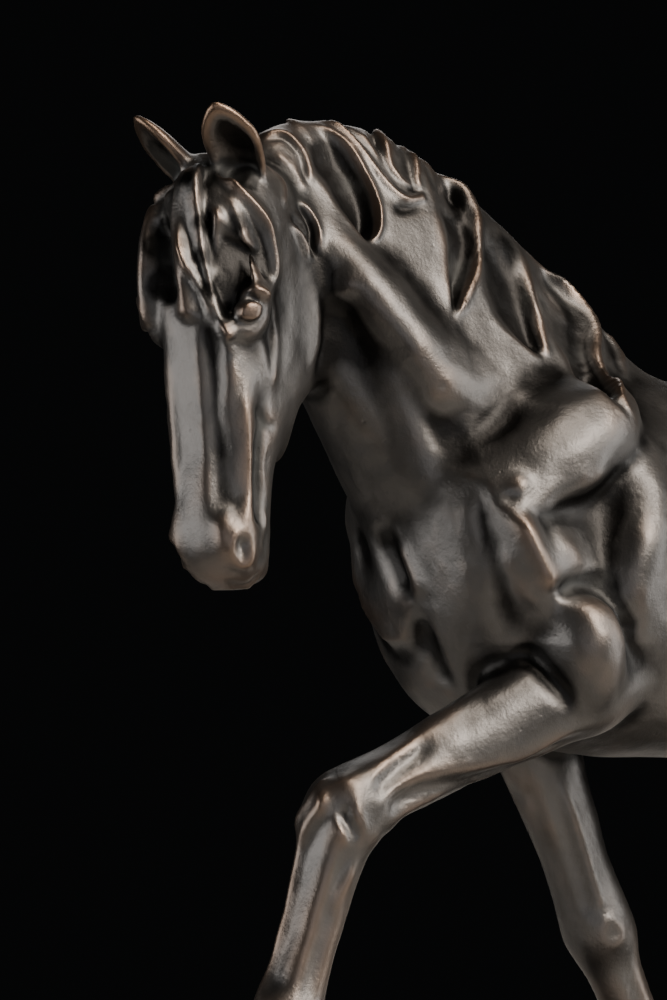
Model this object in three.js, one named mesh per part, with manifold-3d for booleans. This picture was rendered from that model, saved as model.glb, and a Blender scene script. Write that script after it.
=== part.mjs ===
// A cast bronze horse in a collected trot, its head turned to its left and its left foreleg
// reaching forward, on a low oval bronze base.
// Millimetres. The horse faces -X and its left side faces -Y. +Z is up, and the origin is the
// middle of the base's underside.

import * as THREE from "three";
import { LoftGeometry } from "three/addons/geometries/LoftGeometry.js";
import { mergeVertices } from "three/addons/utils/BufferGeometryUtils.js";
import Module from "manifold-3d";

// Driving dimensions.
const FIGURE_HEIGHT = 236; // soles to the crest of the neck
const HEAD_LENGTH = 80; // poll to lips
const BASE_LENGTH = 262;
const BASE_WIDTH = 98;
const BASE_HEIGHT = 22;
const BASE_EDGE = 3.2; // rounding of the base's upper and lower edges
const BASE_WAIST = 3.0; // how far the base's side is drawn in
const BASE_SQUARE = 2.6; // 2 is a true oval, more is squarer
const BASE_FACETS = 36;
const FOOT_GAP = 0.3; // clearance between a hoof's sole and the base

// Fineness of the facets: rings between two stations, and points around one ring.
const STEPS = { trunk: 2, neck: 2, head: 2, leg: 1, tail: 1, lock: 2, ear: 1 };
const AROUND = { trunk: 24, neck: 22, head: 26, leg: 10, tail: 8, ear: 10 };
const MASS_FACETS = [8, 6];
const MUSCLE_BLEND = 3; // how widely a muscle is eased into the body
const FACE_BLEND = 1.4;

const wasm = await Module();
wasm.setup();

const bronze = new THREE.MeshStandardMaterial({
  color: 0x4a4039,
  roughness: 0.38,
  metalness: 1.0,
});
const baseBronze = new THREE.MeshStandardMaterial({
  color: 0x3d3631,
  roughness: 0.45,
  metalness: 1.0,
});

// Small helpers for vectors and curves.
const V = (x, y, z) => new THREE.Vector3(x, y, z);
const UP = V(0, 0, 1);
const RIGHT = V(0, 1, 0);
const along = (p, ...pairs) =>
  pairs.reduce((made, [direction, distance]) => made.addScaledVector(direction, distance), p.clone());
const cross = (a, b) => V(0, 0, 0).crossVectors(a, b).normalize();
const signedPower = (x, e) => Math.sign(x) * Math.abs(x) ** e;
const rad = THREE.MathUtils.degToRad;

// A uniform Catmull-Rom curve through rows of numbers: every column is carried through its values.
function between(rows, t) {
  const last = rows.length - 1;
  const i = Math.max(0, Math.min(Math.floor(t), last - 1));
  const u = t - i;
  const [a, b, c, d] = [i - 1, i, i + 1, i + 2].map((k) => rows[Math.max(0, Math.min(last, k))]);
  return b.map(
    (_, k) =>
      0.5 *
      (2 * b[k] +
        (c[k] - a[k]) * u +
        (2 * a[k] - 5 * b[k] + 4 * c[k] - d[k]) * u * u +
        (3 * b[k] - a[k] - 3 * c[k] + d[k]) * u * u * u),
  );
}

// A closed three.js geometry as a solid that can be joined and cut.
function solid(geometry) {
  const bare = new THREE.BufferGeometry();
  bare.setAttribute("position", geometry.getAttribute("position"));
  bare.setIndex(geometry.index);
  const merged = mergeVertices(bare, 1e-4);
  return new wasm.Manifold(
    new wasm.Mesh({
      numProp: 3,
      vertProperties: merged.attributes.position.array,
      triVerts: new Uint32Array(merged.index.array),
    }),
  );
}

// Rings skinned into a closed solid. The rings must run counter-clockwise as seen from the last
// one, so they are turned round when they run the other way.
function skin(rings) {
  const middle = (ring) => ring.reduce((sum, p) => sum.add(p), V(0, 0, 0)).divideScalar(ring.length);
  const [here, next] = [middle(rings[0]), middle(rings[1])];
  const normal = V(0, 0, 0);
  rings[0].forEach((p, i) => {
    const q = rings[0][(i + 1) % rings[0].length];
    normal.add(p.clone().sub(here).cross(q.clone().sub(here)));
  });
  const turned = normal.dot(next.sub(here)) < 0 ? rings.map((ring) => [...ring].reverse()) : rings;
  return solid(new LoftGeometry(turned, { closed: true, capStart: true, capEnd: true }));
}

// How far a ray from a point inside reaches before it leaves a mass for the last time, or -1.
function leaves(from, out, { centre, axes, radii }) {
  const [q, d] = [from.clone().sub(centre), out].map((p) => V(...axes.map((e, i) => p.dot(e) / radii[i])));
  const [a, b, c] = [d.lengthSq(), q.dot(d), q.lengthSq() - 1];
  const inside = b * b - a * c;
  return inside > 0 ? (-b + Math.sqrt(inside)) / a : -1;
}

// The larger of two reaches, eased into each other over a blend.
function easedMax(a, b, blend) {
  const h = Math.max(blend - Math.abs(a - b), 0) / blend;
  return Math.max(a, b) + (h * h * blend) / 4;
}

// A section's outline: a superellipse between its front and back points whose width tapers.
function outline({ front, back, side, width, taper = 0, square = 2 }, around) {
  const middle = front.clone().add(back).multiplyScalar(0.5);
  const half = front.clone().sub(back).multiplyScalar(0.5);
  return Array.from({ length: around }, (_, k) => {
    const angle = (k / around) * 2 * Math.PI;
    const s = signedPower(Math.cos(angle), 2 / square);
    const w = signedPower(Math.sin(angle), 2 / square) * width * (1 + taper * s);
    return along(middle, [half, s], [side, w]);
  });
}

// A closed loft through stations, smoothed between them and swollen by the masses under its skin.
function loft(sections, around, steps, masses = [], blend = MUSCLE_BLEND) {
  const rows = sections.map((s) => [
    ...s.front.toArray(),
    ...s.back.toArray(),
    ...s.side.toArray(),
    s.width,
    s.taper ?? 0,
    s.square ?? 2,
  ]);
  const rings = Array.from({ length: (rows.length - 1) * steps + 1 }, (_, i) => {
    const r = between(rows, i / steps);
    const section = {
      front: V(r[0], r[1], r[2]),
      back: V(r[3], r[4], r[5]),
      side: V(r[6], r[7], r[8]).normalize(),
      width: r[9],
      taper: r[10],
      square: r[11],
    };
    const middle = section.front.clone().add(section.back).multiplyScalar(0.5);
    return outline(section, around).map((p) => {
      const out = p.clone().sub(middle);
      const reach = out.length();
      out.normalize();
      const swollen = masses.reduce((far, m) => {
        const left = leaves(middle, out, m);
        return left < 0 ? far : easedMax(far, left, blend);
      }, reach);
      return along(middle, [out, swollen]);
    });
  });
  return skin(rings);
}

// A rounded mass as a solid of its own.
function ellipsoid({ centre, axes: [e1, e2, e3], radii: [r1, r2, r3] }, [around, down] = MASS_FACETS) {
  const sphere = new THREE.SphereGeometry(1, around, down);
  const right = cross(e1, e2).dot(e3) > 0 ? 1 : -1;
  const basis = new THREE.Matrix4().makeBasis(
    e2.clone().multiplyScalar(r2),
    e1.clone().multiplyScalar(r1),
    e3.clone().multiplyScalar(-right * r3),
  );
  sphere.applyMatrix4(basis.setPosition(centre));
  return solid(sphere);
}

const join = (pieces) => pieces.reduce((whole, piece) => whole.add(piece));

// A solid as a mesh of the scene.
function meshOf(manifold, name, material) {
  const { vertProperties, triVerts } = manifold.getMesh();
  const geometry = new THREE.BufferGeometry();
  geometry.setAttribute("position", new THREE.BufferAttribute(vertProperties, 3));
  geometry.setIndex(new THREE.BufferAttribute(triVerts, 1));
  geometry.computeVertexNormals();
  const mesh = new THREE.Mesh(geometry, material);
  mesh.name = name;
  return mesh;
}

// The figure is drawn 236 mm high on a ground at 22 mm, and its head 83 mm long. Both are scaled
// from there, so that the driving dimensions and the base's height move them.
const DRAWN_FIGURE = 236;
const DRAWN_GROUND = 22;
const DRAWN_HEAD = 83;
const scale = FIGURE_HEIGHT / DRAWN_FIGURE;
const headScale = HEAD_LENGTH / DRAWN_HEAD;
const place = (x, y, z) => V(x * scale, y * scale, BASE_HEIGHT + FOOT_GAP + (z - DRAWN_GROUND) * scale);

// Trunk: [x, top, bottom, half width, taper, squareness].
const TRUNK = [
  [-99, 172, 158, 6, 0, 2],
  [-97, 181, 149, 15, 0, 2.1],
  [-92, 189, 142, 22, 0, 2.2],
  [-84, 197, 136.5, 27, -0.05, 2.3],
  [-70, 203, 132.5, 29.5, -0.12, 2.3],
  [-54, 207, 130, 30, -0.18, 2.2],
  [-38, 208.5, 129, 30.5, -0.2, 2.2],
  [-20, 206, 128.5, 33, -0.1, 2.2],
  [0, 201.5, 130, 34.5, -0.04, 2.2],
  [20, 199, 133, 34.5, 0, 2.2],
  [40, 200, 138, 33, 0.02, 2.2],
  [56, 202.5, 144, 31, 0.02, 2.2],
  [72, 202, 148, 29, 0, 2.2],
  [85, 197.5, 150, 25, 0, 2.1],
  [94, 190, 154, 19, 0, 2],
  [99, 182, 162, 10, 0, 2],
];

// Neck: [crest x, crest z, throat x, throat z, half width, taper].
const NECK = [
  [-28, 204, -84, 140, 27, -0.1],
  [-41, 208.5, -98, 155, 25, -0.2],
  [-51, 214.5, -103, 165, 22.5, -0.3],
  [-60, 223.5, -105.5, 173, 20, -0.34],
  [-72, 232.5, -107.5, 180, 18, -0.36],
  [-83, 241, -112.5, 188, 16, -0.36],
  [-96, 249.5, -118, 196, 14, -0.34],
  [-111, 255.5, -124, 204, 12, -0.3],
  [-126, 256.5, -130, 212, 10.5, -0.25],
  [-136, 253, -135.5, 217, 9.5, -0.2],
  [-142, 247, -140, 221, 8.5, -0.1],
];
const NECK_BEND = 12; // how far the poll swings to the horse's left
const NECK_BEND_START = -35;
const NECK_BEND_LENGTH = 105;
const NECK_SQUARE = 2.1;

// Head: [distance down from the poll, front, back, half width, taper, squareness]. Front and
// back are measured along the way the face looks, from the plane of the forehead.
const HEAD_ROWS = [
  [-2, -9, -20, 5, 0, 2],
  [1, -6, -27, 8.5, 0.1, 2.1],
  [6, -3, -34, 10.5, 0.15, 2.3],
  [12, -1, -39, 11.5, 0.2, 2.5],
  [20, 0, -43, 11.8, 0.15, 2.7],
  [28, 0, -44, 11.4, 0.1, 2.8],
  [36, -0.5, -42.5, 10.6, 0.05, 2.8],
  [43, -1, -37, 10.4, 0.05, 2.7],
  [50, -1.3, -29, 9.7, 0.05, 2.6],
  [57, -1.5, -23.5, 8.8, 0, 2.5],
  [64, -1.2, -21.5, 8.1, 0, 2.4],
  [71, -0.8, -21, 7.8, 0, 2.3],
  [77, -2, -20.5, 7.6, 0, 2.3],
  [81, -5, -18, 6.6, 0, 2.2],
  [83.4, -9, -14.5, 4, 0, 2],
];
const HEAD_AT = [-158, -25, 247.5]; // the forehead's plane at the height of the poll
const HEAD_YAW = rad(33); // how far the face looks to the horse's left
const HEAD_TUCK = rad(0.5); // how far the nose is behind the upright
const HEAD_ROLL = rad(2); // how far the lips swing to the horse's left

// Masses of the head: [down, front, left, radii the same way, lean outward in degrees].
const HEAD_MASSES = [
  [17.5, -6.5, 11.6, 12, 4, 3, 14], // brow
  [28.5, -7.5, 10.2, 6.5, 6, 4.8, 0], // socket
  [27, -33, 6.5, 16, 13, 6.4, 0], // cheek
  [44, -23.5, 4.6, 15, 5, 4.2, -5], // jaw
  [44, -9, 6, 18, 3, 3.4, -4], // crest of the face
  [72.5, -5, 5.2, 5.5, 3.6, 3.3, 0], // nostril
  [79, -17.5, 0, 4, 4.5, 5, 0], // chin
];
const EYE = [29.8, -6.4, 9.8, 4.1];
const EYELID = 0.9;
const EYE_OPENING = 3.3;
const HOLLOWS = [
  [14, 1.2, 8.6, 8, 3.2, 2.4, 14], // temple
  [73, -2.6, 9.2, 3.6, 1.9, 2.2, 0], // nostril
  [78.5, -19, 0, 0.6, 8, 20, 0], // mouth
];

// Ears: root and tip in the head's directions, with the half breadths and half depths between.
const EAR_ROOT = [5, -14, 6.6];
const EAR_TIP = [-9.5, 2.5, 9.6];
const EAR_ROWS = [
  [0, 3.4, 3.4],
  [0.16, 4.4, 3.8],
  [0.34, 5.4, 3.6],
  [0.52, 5.6, 3.2],
  [0.7, 4.9, 2.6],
  [0.86, 3.2, 1.8],
  [1, 0.5, 0.5],
];
const EAR_WALL = 0.95;
const EAR_OUTWARD = 0.5; // how far the ear's hollow faces outward rather than forward

// Forelock: [down, left] of each strand's middle line, its half width and its rise.
const FORELOCK = [
  { path: [[2, -1], [12, 0.3], [21, 0.9], [31, 0.8]], width: 1.8, rise: 1.8 },
  { path: [[1, 1.4], [13, 1.8], [24, 3.6], [37, 8]], width: 2.2, rise: 2 },
  { path: [[4, 5], [14, 5.4], [22, 5.4], [31, 6.4]], width: 1.5, rise: 1.8 },
];

// Mane: each lock is a scooped leaf lying on the neck. Its path runs in [place along the neck
// from the withers, share of the way down from the crest].
const MANE = [
  { side: 1, path: [[9.2, 0.05], [8.55, 0.22], [8.25, 0.42], [8.3, 0.66]], width: 4.4, rise: 2.4 },
  { side: 1, path: [[8.5, 0.0], [8.15, 0.16], [7.65, 0.34], [7.15, 0.48]], width: 6.2, rise: 2.8 },
  { side: 1, path: [[7.7, 0.0], [7.45, 0.16], [7.05, 0.29], [6.3, 0.31]], width: 5, rise: 3.4 },
  { side: 1, path: [[6.9, 0.0], [6.55, 0.12], [6.1, 0.24], [5.75, 0.36]], width: 4, rise: 3 },
  { side: 1, path: [[6.2, 0.0], [5.8, 0.15], [5.5, 0.32], [5.4, 0.48]], width: 7, rise: 3.2 },
  { side: 1, path: [[5.1, 0.0], [4.8, 0.18], [4.2, 0.34], [3.3, 0.4]], width: 6.4, rise: 3.2 },
  { side: 1, path: [[4.3, 0.0], [3.7, 0.1], [2.7, 0.17], [1.35, 0.34]], width: 5.6, rise: 3 },
  { side: 1, path: [[3.2, 0.0], [2.6, 0.05], [2.0, 0.1], [1.2, 0.16]], width: 4.4, rise: 2.6 },
  { side: -1, path: [[8.9, 0.0], [8.3, 0.1], [7.6, 0.2], [6.9, 0.24]], width: 4.6, rise: 2 },
  { side: -1, path: [[7.4, 0.0], [6.8, 0.1], [6.1, 0.2], [5.4, 0.24]], width: 4.8, rise: 2 },
  { side: -1, path: [[5.9, 0.0], [5.3, 0.1], [4.6, 0.2], [3.9, 0.24]], width: 4.8, rise: 2 },
  { side: -1, path: [[4.4, 0.0], [3.8, 0.08], [3.0, 0.16], [2.2, 0.2]], width: 4.4, rise: 2 },
];
const LOCK_ROOT = 3; // how deep a lock is sunk in the neck
const LEAF = [0.55, 0.9, 1, 0.98, 0.85, 0.55, 0.12]; // breadth from root to tip

// Muscles under the skin: [x, y, z, slope in degrees, long, short and sideways radii]. y is
// outward from the middle of the body.
const MUSCLES = [
  [-78, 16, 193, 27, 22, 11.5, 17], // shoulder blade
  [-91, 15, 173, 106, 18, 9, 15], // point of the shoulder
  [-83, 16, 172, 112, 14, 7, 16.5], // front of the upper arm
  [-61, 15, 172, 78, 25, 10, 18], // back of the upper arm
  [-73, 21, 153, 109, 16, 10.5, 14], // elbow
  [-91, 9.5, 163, 110, 18, 8.5, 11], // breast
  [70, 13, 185, -8, 30, 18, 19], // croup
  [62, 15, 163, 80, 27, 19, 17.5], // thigh
  [45, 19, 146, 60, 15, 10, 12], // stifle
  [86, 12, 168, 100, 26, 12, 13.5], // buttock
];
const NECK_MUSCLES = [
  [-107, 10.5, 214, -47, 30, 7, 9], // side of the neck
  [-106, 6.5, 196, -60, 27, 6.5, 9], // throat
];

// Legs: the joints from the elbow or hip down to the sole, and a row of sections for each bone
// between two joints. A section is [share of the way to the next joint, half depth, half width].
const FORE_SECTIONS = [
  [[0, 10, 7], [0.6, 12, 8.5]],
  [[0.05, 11.2, 9], [0.25, 9.8, 8.2], [0.5, 8.3, 7.2], [0.78, 7.4, 6.4], [0.95, 7.9, 6.9]],
  [[0.08, 7.9, 6.9], [0.24, 6.5, 5], [0.5, 5.9, 4.4], [0.82, 6, 4.6]],
  [[0, 7.3, 5.9], [0.5, 5.4, 4.7], [0.88, 6.4, 5.9]],
  [[0.05, 7.4, 6.9], [1, 9.4, 8.4]],
];
const HIND_SECTIONS = [
  [[0.1, 18, 8], [0.5, 22, 12], [0.9, 19.5, 12]],
  [[0.25, 15, 9.5], [0.52, 10.8, 7.4], [0.8, 8.4, 5.8], [0.97, 9.6, 6.6]],
  [[0.14, 8, 6], [0.32, 6.3, 4.8], [0.6, 5.8, 4.5], [0.86, 6.1, 4.7]],
  [[0, 7.4, 5.9], [0.5, 5.4, 4.7], [0.88, 6.3, 5.8]],
  [[0.05, 7.2, 6.8], [1, 9, 8]],
];
const LEGS = {
  leftFore: {
    sections: FORE_SECTIONS,
    joints: [[-60, -14, 166], [-67, -23.5, 150], [-126, -28, 125], [-138, -28, 86], [-136, -28, 70], [-135, -28, 60]],
  },
  rightFore: {
    sections: FORE_SECTIONS,
    joints: [[-72, 18, 168], [-62, 21, 145], [-41, 21, 90], [-24, 21, 50], [-28, 21, 34], [-31, 21, 22]],
  },
  leftHind: {
    sections: HIND_SECTIONS,
    joints: [[68, -15, 178], [53, -20, 138], [89, -20, 94], [111, -20, 48], [106, -20, 33], [103, -20, 22]],
  },
  rightHind: {
    sections: HIND_SECTIONS,
    joints: [[66, 15, 176], [42, 21, 136], [64, 21, 88], [46, 21, 46], [38, 21, 33], [34, 21, 22]],
  },
};

// Tail: [x, y, z, half depth, half width].
const TAIL = [
  [88, 0, 188, 6, 6],
  [99, 0, 192, 6.5, 6],
  [110, -1, 190, 7.5, 6.5],
  [120, -2, 179, 9, 8],
  [126, -3, 160, 10.5, 9.5],
  [129, -3, 137, 10.5, 9.5],
  [131, -2, 113, 9, 8],
  [134, 0, 93, 6, 5.5],
  [139, 2, 80, 2.2, 2],
];
const TAIL_LOCKS = [
  { turn: 20, path: [0.2, 0.38, 0.55, 0.72], width: 6, rise: 2.6 },
  { turn: 110, path: [0.25, 0.45, 0.65, 0.85], width: 6.4, rise: 2.8 },
  { turn: 200, path: [0.2, 0.4, 0.6, 0.78], width: 6.4, rise: 2.6 },
  { turn: 290, path: [0.25, 0.42, 0.62, 0.88], width: 6, rise: 2.8 },
];
const TAIL_TWIST = 70; // degrees that a tail lock winds round on its way down

function trunk() {
  const sections = TRUNK.map(([x, top, bottom, width, taper, square]) => ({
    front: place(x, 0, top),
    back: place(x, 0, bottom),
    side: RIGHT,
    width: width * scale,
    taper,
    square,
  }));
  return loft(sections, AROUND.trunk, STEPS.trunk, MUSCLES.flatMap(musclePair));
}

// How far the neck has swung to the left over x.
const neckBend = (x) =>
  -NECK_BEND * Math.max(0, (NECK_BEND_START - x) / NECK_BEND_LENGTH) ** 1.6;

function neckSection([cx, cz, tx, tz, width, taper]) {
  const slope = (neckBend(cx - 1) - neckBend(cx + 1)) / 2;
  return {
    front: place(cx, neckBend(cx), cz),
    back: place(tx, neckBend(tx), tz),
    side: V(slope, 1, 0).normalize(),
    width: width * scale,
    taper,
    square: NECK_SQUARE,
  };
}

const neck = () =>
  loft(NECK.map(neckSection), AROUND.neck, STEPS.neck, NECK_MUSCLES.flatMap(musclePair));

// A point of the neck's skin and the way out of it. side is 1 for the horse's left.
function onNeck(u, v, side) {
  const section = neckSection(between(NECK, u));
  const turn = side > 0 ? 1 - v / 2 : v / 2;
  const at = (t) => {
    const angle = t * 2 * Math.PI;
    const s = signedPower(Math.cos(angle), 2 / NECK_SQUARE);
    const w = signedPower(Math.sin(angle), 2 / NECK_SQUARE) * section.width * (1 + section.taper * s);
    const middle = section.front.clone().add(section.back).multiplyScalar(0.5);
    return along(middle, [section.front.clone().sub(middle), s], [section.side, w]);
  };
  const here = at(turn);
  const round = at(turn + 0.01).sub(at(turn - 0.01));
  const forward = neckSection(between(NECK, u + 0.05)).front.sub(neckSection(between(NECK, u)).front);
  const out = cross(round, forward);
  const centre = section.front.clone().add(section.back).multiplyScalar(0.5);
  if (out.dot(here.clone().sub(centre)) < 0) out.negate();
  return { here, out };
}

// A scooped leaf of hair along a path of surface points: raised rims, a sunken middle, and a
// root sunk in what it lies on.
function leaf(points, width, rise) {
  const rings = points.map(({ here, out }, i) => {
    const before = points[Math.max(0, i - 1)].here;
    const after = points[Math.min(points.length - 1, i + 1)].here;
    const broad = cross(after.clone().sub(before), out);
    const share = between(LEAF.map((b) => [b]), (i / (points.length - 1)) * (LEAF.length - 1))[0];
    const w = width * share * scale;
    const h = rise * (0.35 + 0.65 * share) * scale;
    return [
      [-0.9, -LOCK_ROOT * scale],
      [-1, h],
      [0, h * 0.4],
      [1, h],
      [0.9, -LOCK_ROOT * scale],
    ].map(([b, o]) => along(here, [broad, b * w], [out, o]));
  });
  return skin(rings);
}

function maneLock({ side, path, width, rise }) {
  const count = (path.length - 1) * STEPS.lock;
  const points = Array.from({ length: count + 1 }, (_, i) => {
    const [u, v] = between(path, i / STEPS.lock);
    return onNeck(u, v, side);
  });
  return leaf(points, width, rise);
}

// The head's own directions: the way the face looks, its left, and down from poll to lips.
const looks = V(-Math.cos(HEAD_YAW), -Math.sin(HEAD_YAW), 0);
const leftOfFace = cross(UP, looks);
const headFront = along(V(0, 0, 0), [looks, Math.cos(HEAD_TUCK)], [UP, -Math.sin(HEAD_TUCK)]);
const downOfFace = cross(leftOfFace, headFront);
const [rollCos, rollSin] = [Math.cos(HEAD_ROLL), Math.sin(HEAD_ROLL)];
const headDown = along(V(0, 0, 0), [downOfFace, rollCos], [leftOfFace, rollSin]);
const headLeft = along(V(0, 0, 0), [leftOfFace, rollCos], [downOfFace, -rollSin]);
const onHead = (down, front, left) =>
  along(
    place(...HEAD_AT),
    [headDown, down * headScale],
    [headFront, front * headScale],
    [headLeft, left * headScale],
  );

// The same mass on both sides of the head.
function headPair([down, front, left, r1, r2, r3, lean]) {
  const sides = left === 0 ? [1] : [1, -1];
  return sides.map((side) => {
    const tilt = rad(lean) * side;
    const e1 = along(V(0, 0, 0), [headDown, Math.cos(tilt)], [headLeft, Math.sin(tilt)]);
    const e3 = along(V(0, 0, 0), [headLeft, Math.cos(tilt)], [headDown, -Math.sin(tilt)]);
    const radii = [r1 * headScale, r2 * headScale, r3 * headScale];
    return { centre: onHead(down, front, side * left), axes: [e1, headFront, e3], radii };
  });
}

function skull() {
  const sections = HEAD_ROWS.map(([down, front, back, width, taper, square]) => ({
    front: onHead(down, front, 0),
    back: onHead(down, back, 0),
    side: headLeft,
    width: width * headScale,
    taper,
    square,
  }));
  return loft(sections, AROUND.head, STEPS.head, HEAD_MASSES.flatMap(headPair), FACE_BLEND);
}

function ear(side) {
  const [root, tip] = [EAR_ROOT, EAR_TIP].map(([d, f, l]) => onHead(d, f, l * side));
  const axis = tip.clone().sub(root).normalize();
  const wanted = along(headFront, [headLeft, EAR_OUTWARD * side], [headDown, 0.4]);
  const broad = cross(axis, wanted);
  const open = cross(broad, axis);
  if (open.dot(wanted) < 0) open.negate();
  const shell = (inset, shift, from) => {
    const rows = EAR_ROWS.filter(([share]) => share >= from);
    return loft(
      rows.map(([share, breadth, depth]) => {
        const centre = along(root.clone().lerp(tip, share * (1 - inset * 0.03)), [open, shift * headScale]);
        const b = Math.max(0.3, breadth - inset) * headScale;
        const d = Math.max(0.3, depth - inset * 0.6) * headScale;
        return { front: along(centre, [open, d]), back: along(centre, [open, -d]), side: broad, width: b };
      }),
      AROUND.ear,
      STEPS.ear,
    );
  };
  return shell(0, 0, 0).subtract(shell(EAR_WALL, 1.5, 0.2));
}

function eye(side) {
  const [down, front, left, radius] = EYE;
  const centre = onHead(down, front, left * side);
  const out = along(V(0, 0, 0), [headLeft, side * 0.8], [headFront, 0.6]).normalize();
  const axes = [headDown, out, cross(headDown, out)];
  const ball = ellipsoid({ centre, axes, radii: axes.map(() => radius * headScale) });
  const lids = new THREE.TorusGeometry(EYE_OPENING * headScale, EYELID * headScale, 5, 12);
  const across = cross(headDown, out);
  lids.applyMatrix4(
    new THREE.Matrix4()
      .makeBasis(across, cross(out, across), out)
      .setPosition(along(centre, [out, radius * 0.66 * headScale])),
  );
  return ball.add(solid(lids));
}

function forelock({ path, width, rise }) {
  const count = (path.length - 1) * STEPS.lock;
  const points = Array.from({ length: count + 1 }, (_, i) => {
    const [down, left] = between(path, i / STEPS.lock);
    const front = -0.6 - Math.abs(left) ** 2 * 0.03 - Math.max(0, 6 - down) ** 2 * 0.12;
    return { here: onHead(down, front, left), out: headFront };
  });
  return leaf(points, width, rise);
}

function head() {
  const hollows = HOLLOWS.flatMap(headPair).map((m) => ellipsoid(m));
  const shaped = hollows.reduce((whole, hollow) => whole.subtract(hollow), skull());
  return join([shaped, eye(1), eye(-1), ear(1), ear(-1), ...FORELOCK.map(forelock)]);
}

// The same muscle on both sides, the neck's swung over with it. y is outward.
function musclePair([x, y, z, slope, long, short, sideways]) {
  return [-1, 1].map((side) => {
    const e1 = V(Math.cos(rad(slope)), 0, Math.sin(rad(slope)));
    const e2 = V(-Math.sin(rad(slope)), 0, Math.cos(rad(slope)));
    const centre = place(x, side * y + neckBend(x), z);
    return { centre, axes: [e1, e2, RIGHT], radii: [long * scale, short * scale, sideways * scale] };
  });
}

function leg({ sections, joints }) {
  const points = joints.map((j) => place(...j));
  points.push(along(points[5], [UP, -0.01]));
  const rows = sections.flatMap((bone, k) =>
    bone.map(([share, depth, width]) => ({ k, share, depth, width })),
  );
  const centres = rows.map(({ k, share }) => points[k].clone().lerp(points[k + 1], share));
  const made = rows.map(({ k, depth, width }, i) => {
    const before = centres[Math.max(0, i - 1)];
    const after = centres[Math.min(centres.length - 1, i + 1)];
    const down = k >= 4 ? UP.clone().negate() : after.clone().sub(before).normalize();
    const ahead = cross(down, RIGHT);
    return {
      front: along(centres[i], [ahead, depth * scale]),
      back: along(centres[i], [ahead, -depth * scale]),
      side: RIGHT,
      width: width * scale,
      square: 2.2,
    };
  });
  return loft(made, AROUND.leg, STEPS.leg);
}

function tailSection(row, next) {
  const centre = place(row[0], row[1], row[2]);
  const down = place(next[0], next[1], next[2]).sub(centre).normalize();
  const ahead = cross(down, RIGHT);
  return { centre, ahead, side: cross(ahead, down), depth: row[3] * scale, width: row[4] * scale };
}

function tail() {
  const made = TAIL.map((row, i) => {
    const next = i < TAIL.length - 1 ? TAIL[i + 1] : row.map((n, k) => 2 * n - TAIL[i - 1][k]);
    const { centre, ahead, side, depth, width } = tailSection(row, next);
    return { front: along(centre, [ahead, depth]), back: along(centre, [ahead, -depth]), side, width };
  });
  return loft(made, AROUND.tail, STEPS.tail);
}

function tailLock({ turn, path, width, rise }) {
  const count = (path.length - 1) * STEPS.lock;
  const points = Array.from({ length: count + 1 }, (_, i) => {
    const share = between(path.map((s) => [s]), i / STEPS.lock)[0] * (TAIL.length - 1);
    const { centre, ahead, side, depth, width: half } = tailSection(between(TAIL, share), between(TAIL, share + 0.1));
    const angle = rad(turn + (TAIL_TWIST * i) / count);
    const out = along(V(0, 0, 0), [ahead, Math.cos(angle)], [side, Math.sin(angle)]).normalize();
    const here = along(centre, [ahead, Math.cos(angle) * depth], [side, Math.sin(angle) * half]);
    return { here, out };
  });
  return leaf(points, width, rise);
}

function horse() {
  return join([
    trunk(),
    neck(),
    ...Object.values(LEGS).map(leg),
    ...MANE.map(maneLock),
    head(),
    tail(),
    ...TAIL_LOCKS.map(tailLock),
  ]);
}

// Base: an oval slab whose side is a shallow hollow moulding between two rounded edges.
function base() {
  const rings = [
    [-BASE_EDGE * 0.6, 0],
    [0, BASE_EDGE * 0.6],
    [0, BASE_EDGE * 1.1],
    [-BASE_WAIST, BASE_HEIGHT * 0.35],
    [-BASE_WAIST, BASE_HEIGHT * 0.6],
    [-1, BASE_HEIGHT - BASE_EDGE],
    [-1 - BASE_EDGE * 0.3, BASE_HEIGHT - BASE_EDGE * 0.3],
    [-1 - BASE_EDGE, BASE_HEIGHT],
  ].map(([inset, z]) =>
    Array.from({ length: BASE_FACETS }, (_, k) => {
      const angle = (k / BASE_FACETS) * 2 * Math.PI;
      return V(
        signedPower(Math.cos(angle), 2 / BASE_SQUARE) * (BASE_LENGTH / 2 + inset),
        signedPower(Math.sin(angle), 2 / BASE_SQUARE) * (BASE_WIDTH / 2 + inset),
        z,
      );
    }),
  );
  return skin(rings);
}

const part = new THREE.Group();
part.add(meshOf(horse(), "horse", bronze), meshOf(base(), "base", baseBronze));

export default part;
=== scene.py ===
"""A cast bronze horse in a collected trot on a low oval base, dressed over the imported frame.

Lengths inside the figure are millimetres, as it is drawn, and Blender gets metres.
"""

import math
from itertools import product

import bpy
import numpy as np
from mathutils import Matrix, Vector


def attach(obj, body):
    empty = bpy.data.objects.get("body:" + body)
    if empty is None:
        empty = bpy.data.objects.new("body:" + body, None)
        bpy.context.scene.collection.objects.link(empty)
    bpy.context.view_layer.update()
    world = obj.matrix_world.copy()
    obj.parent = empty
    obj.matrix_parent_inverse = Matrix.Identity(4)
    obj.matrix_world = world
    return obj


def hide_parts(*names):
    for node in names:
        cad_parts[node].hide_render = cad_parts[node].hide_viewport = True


bl_info = {
    "name": "Bronze Trotting Horse",
    "version": (1, 0, 0),
    "blender": (4, 5, 0),
    "location": "View3D > Sidebar > Sculpture",
    "description": "Builds a cast bronze trotting horse on a low oval base",
    "category": "Add Mesh",
}

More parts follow.
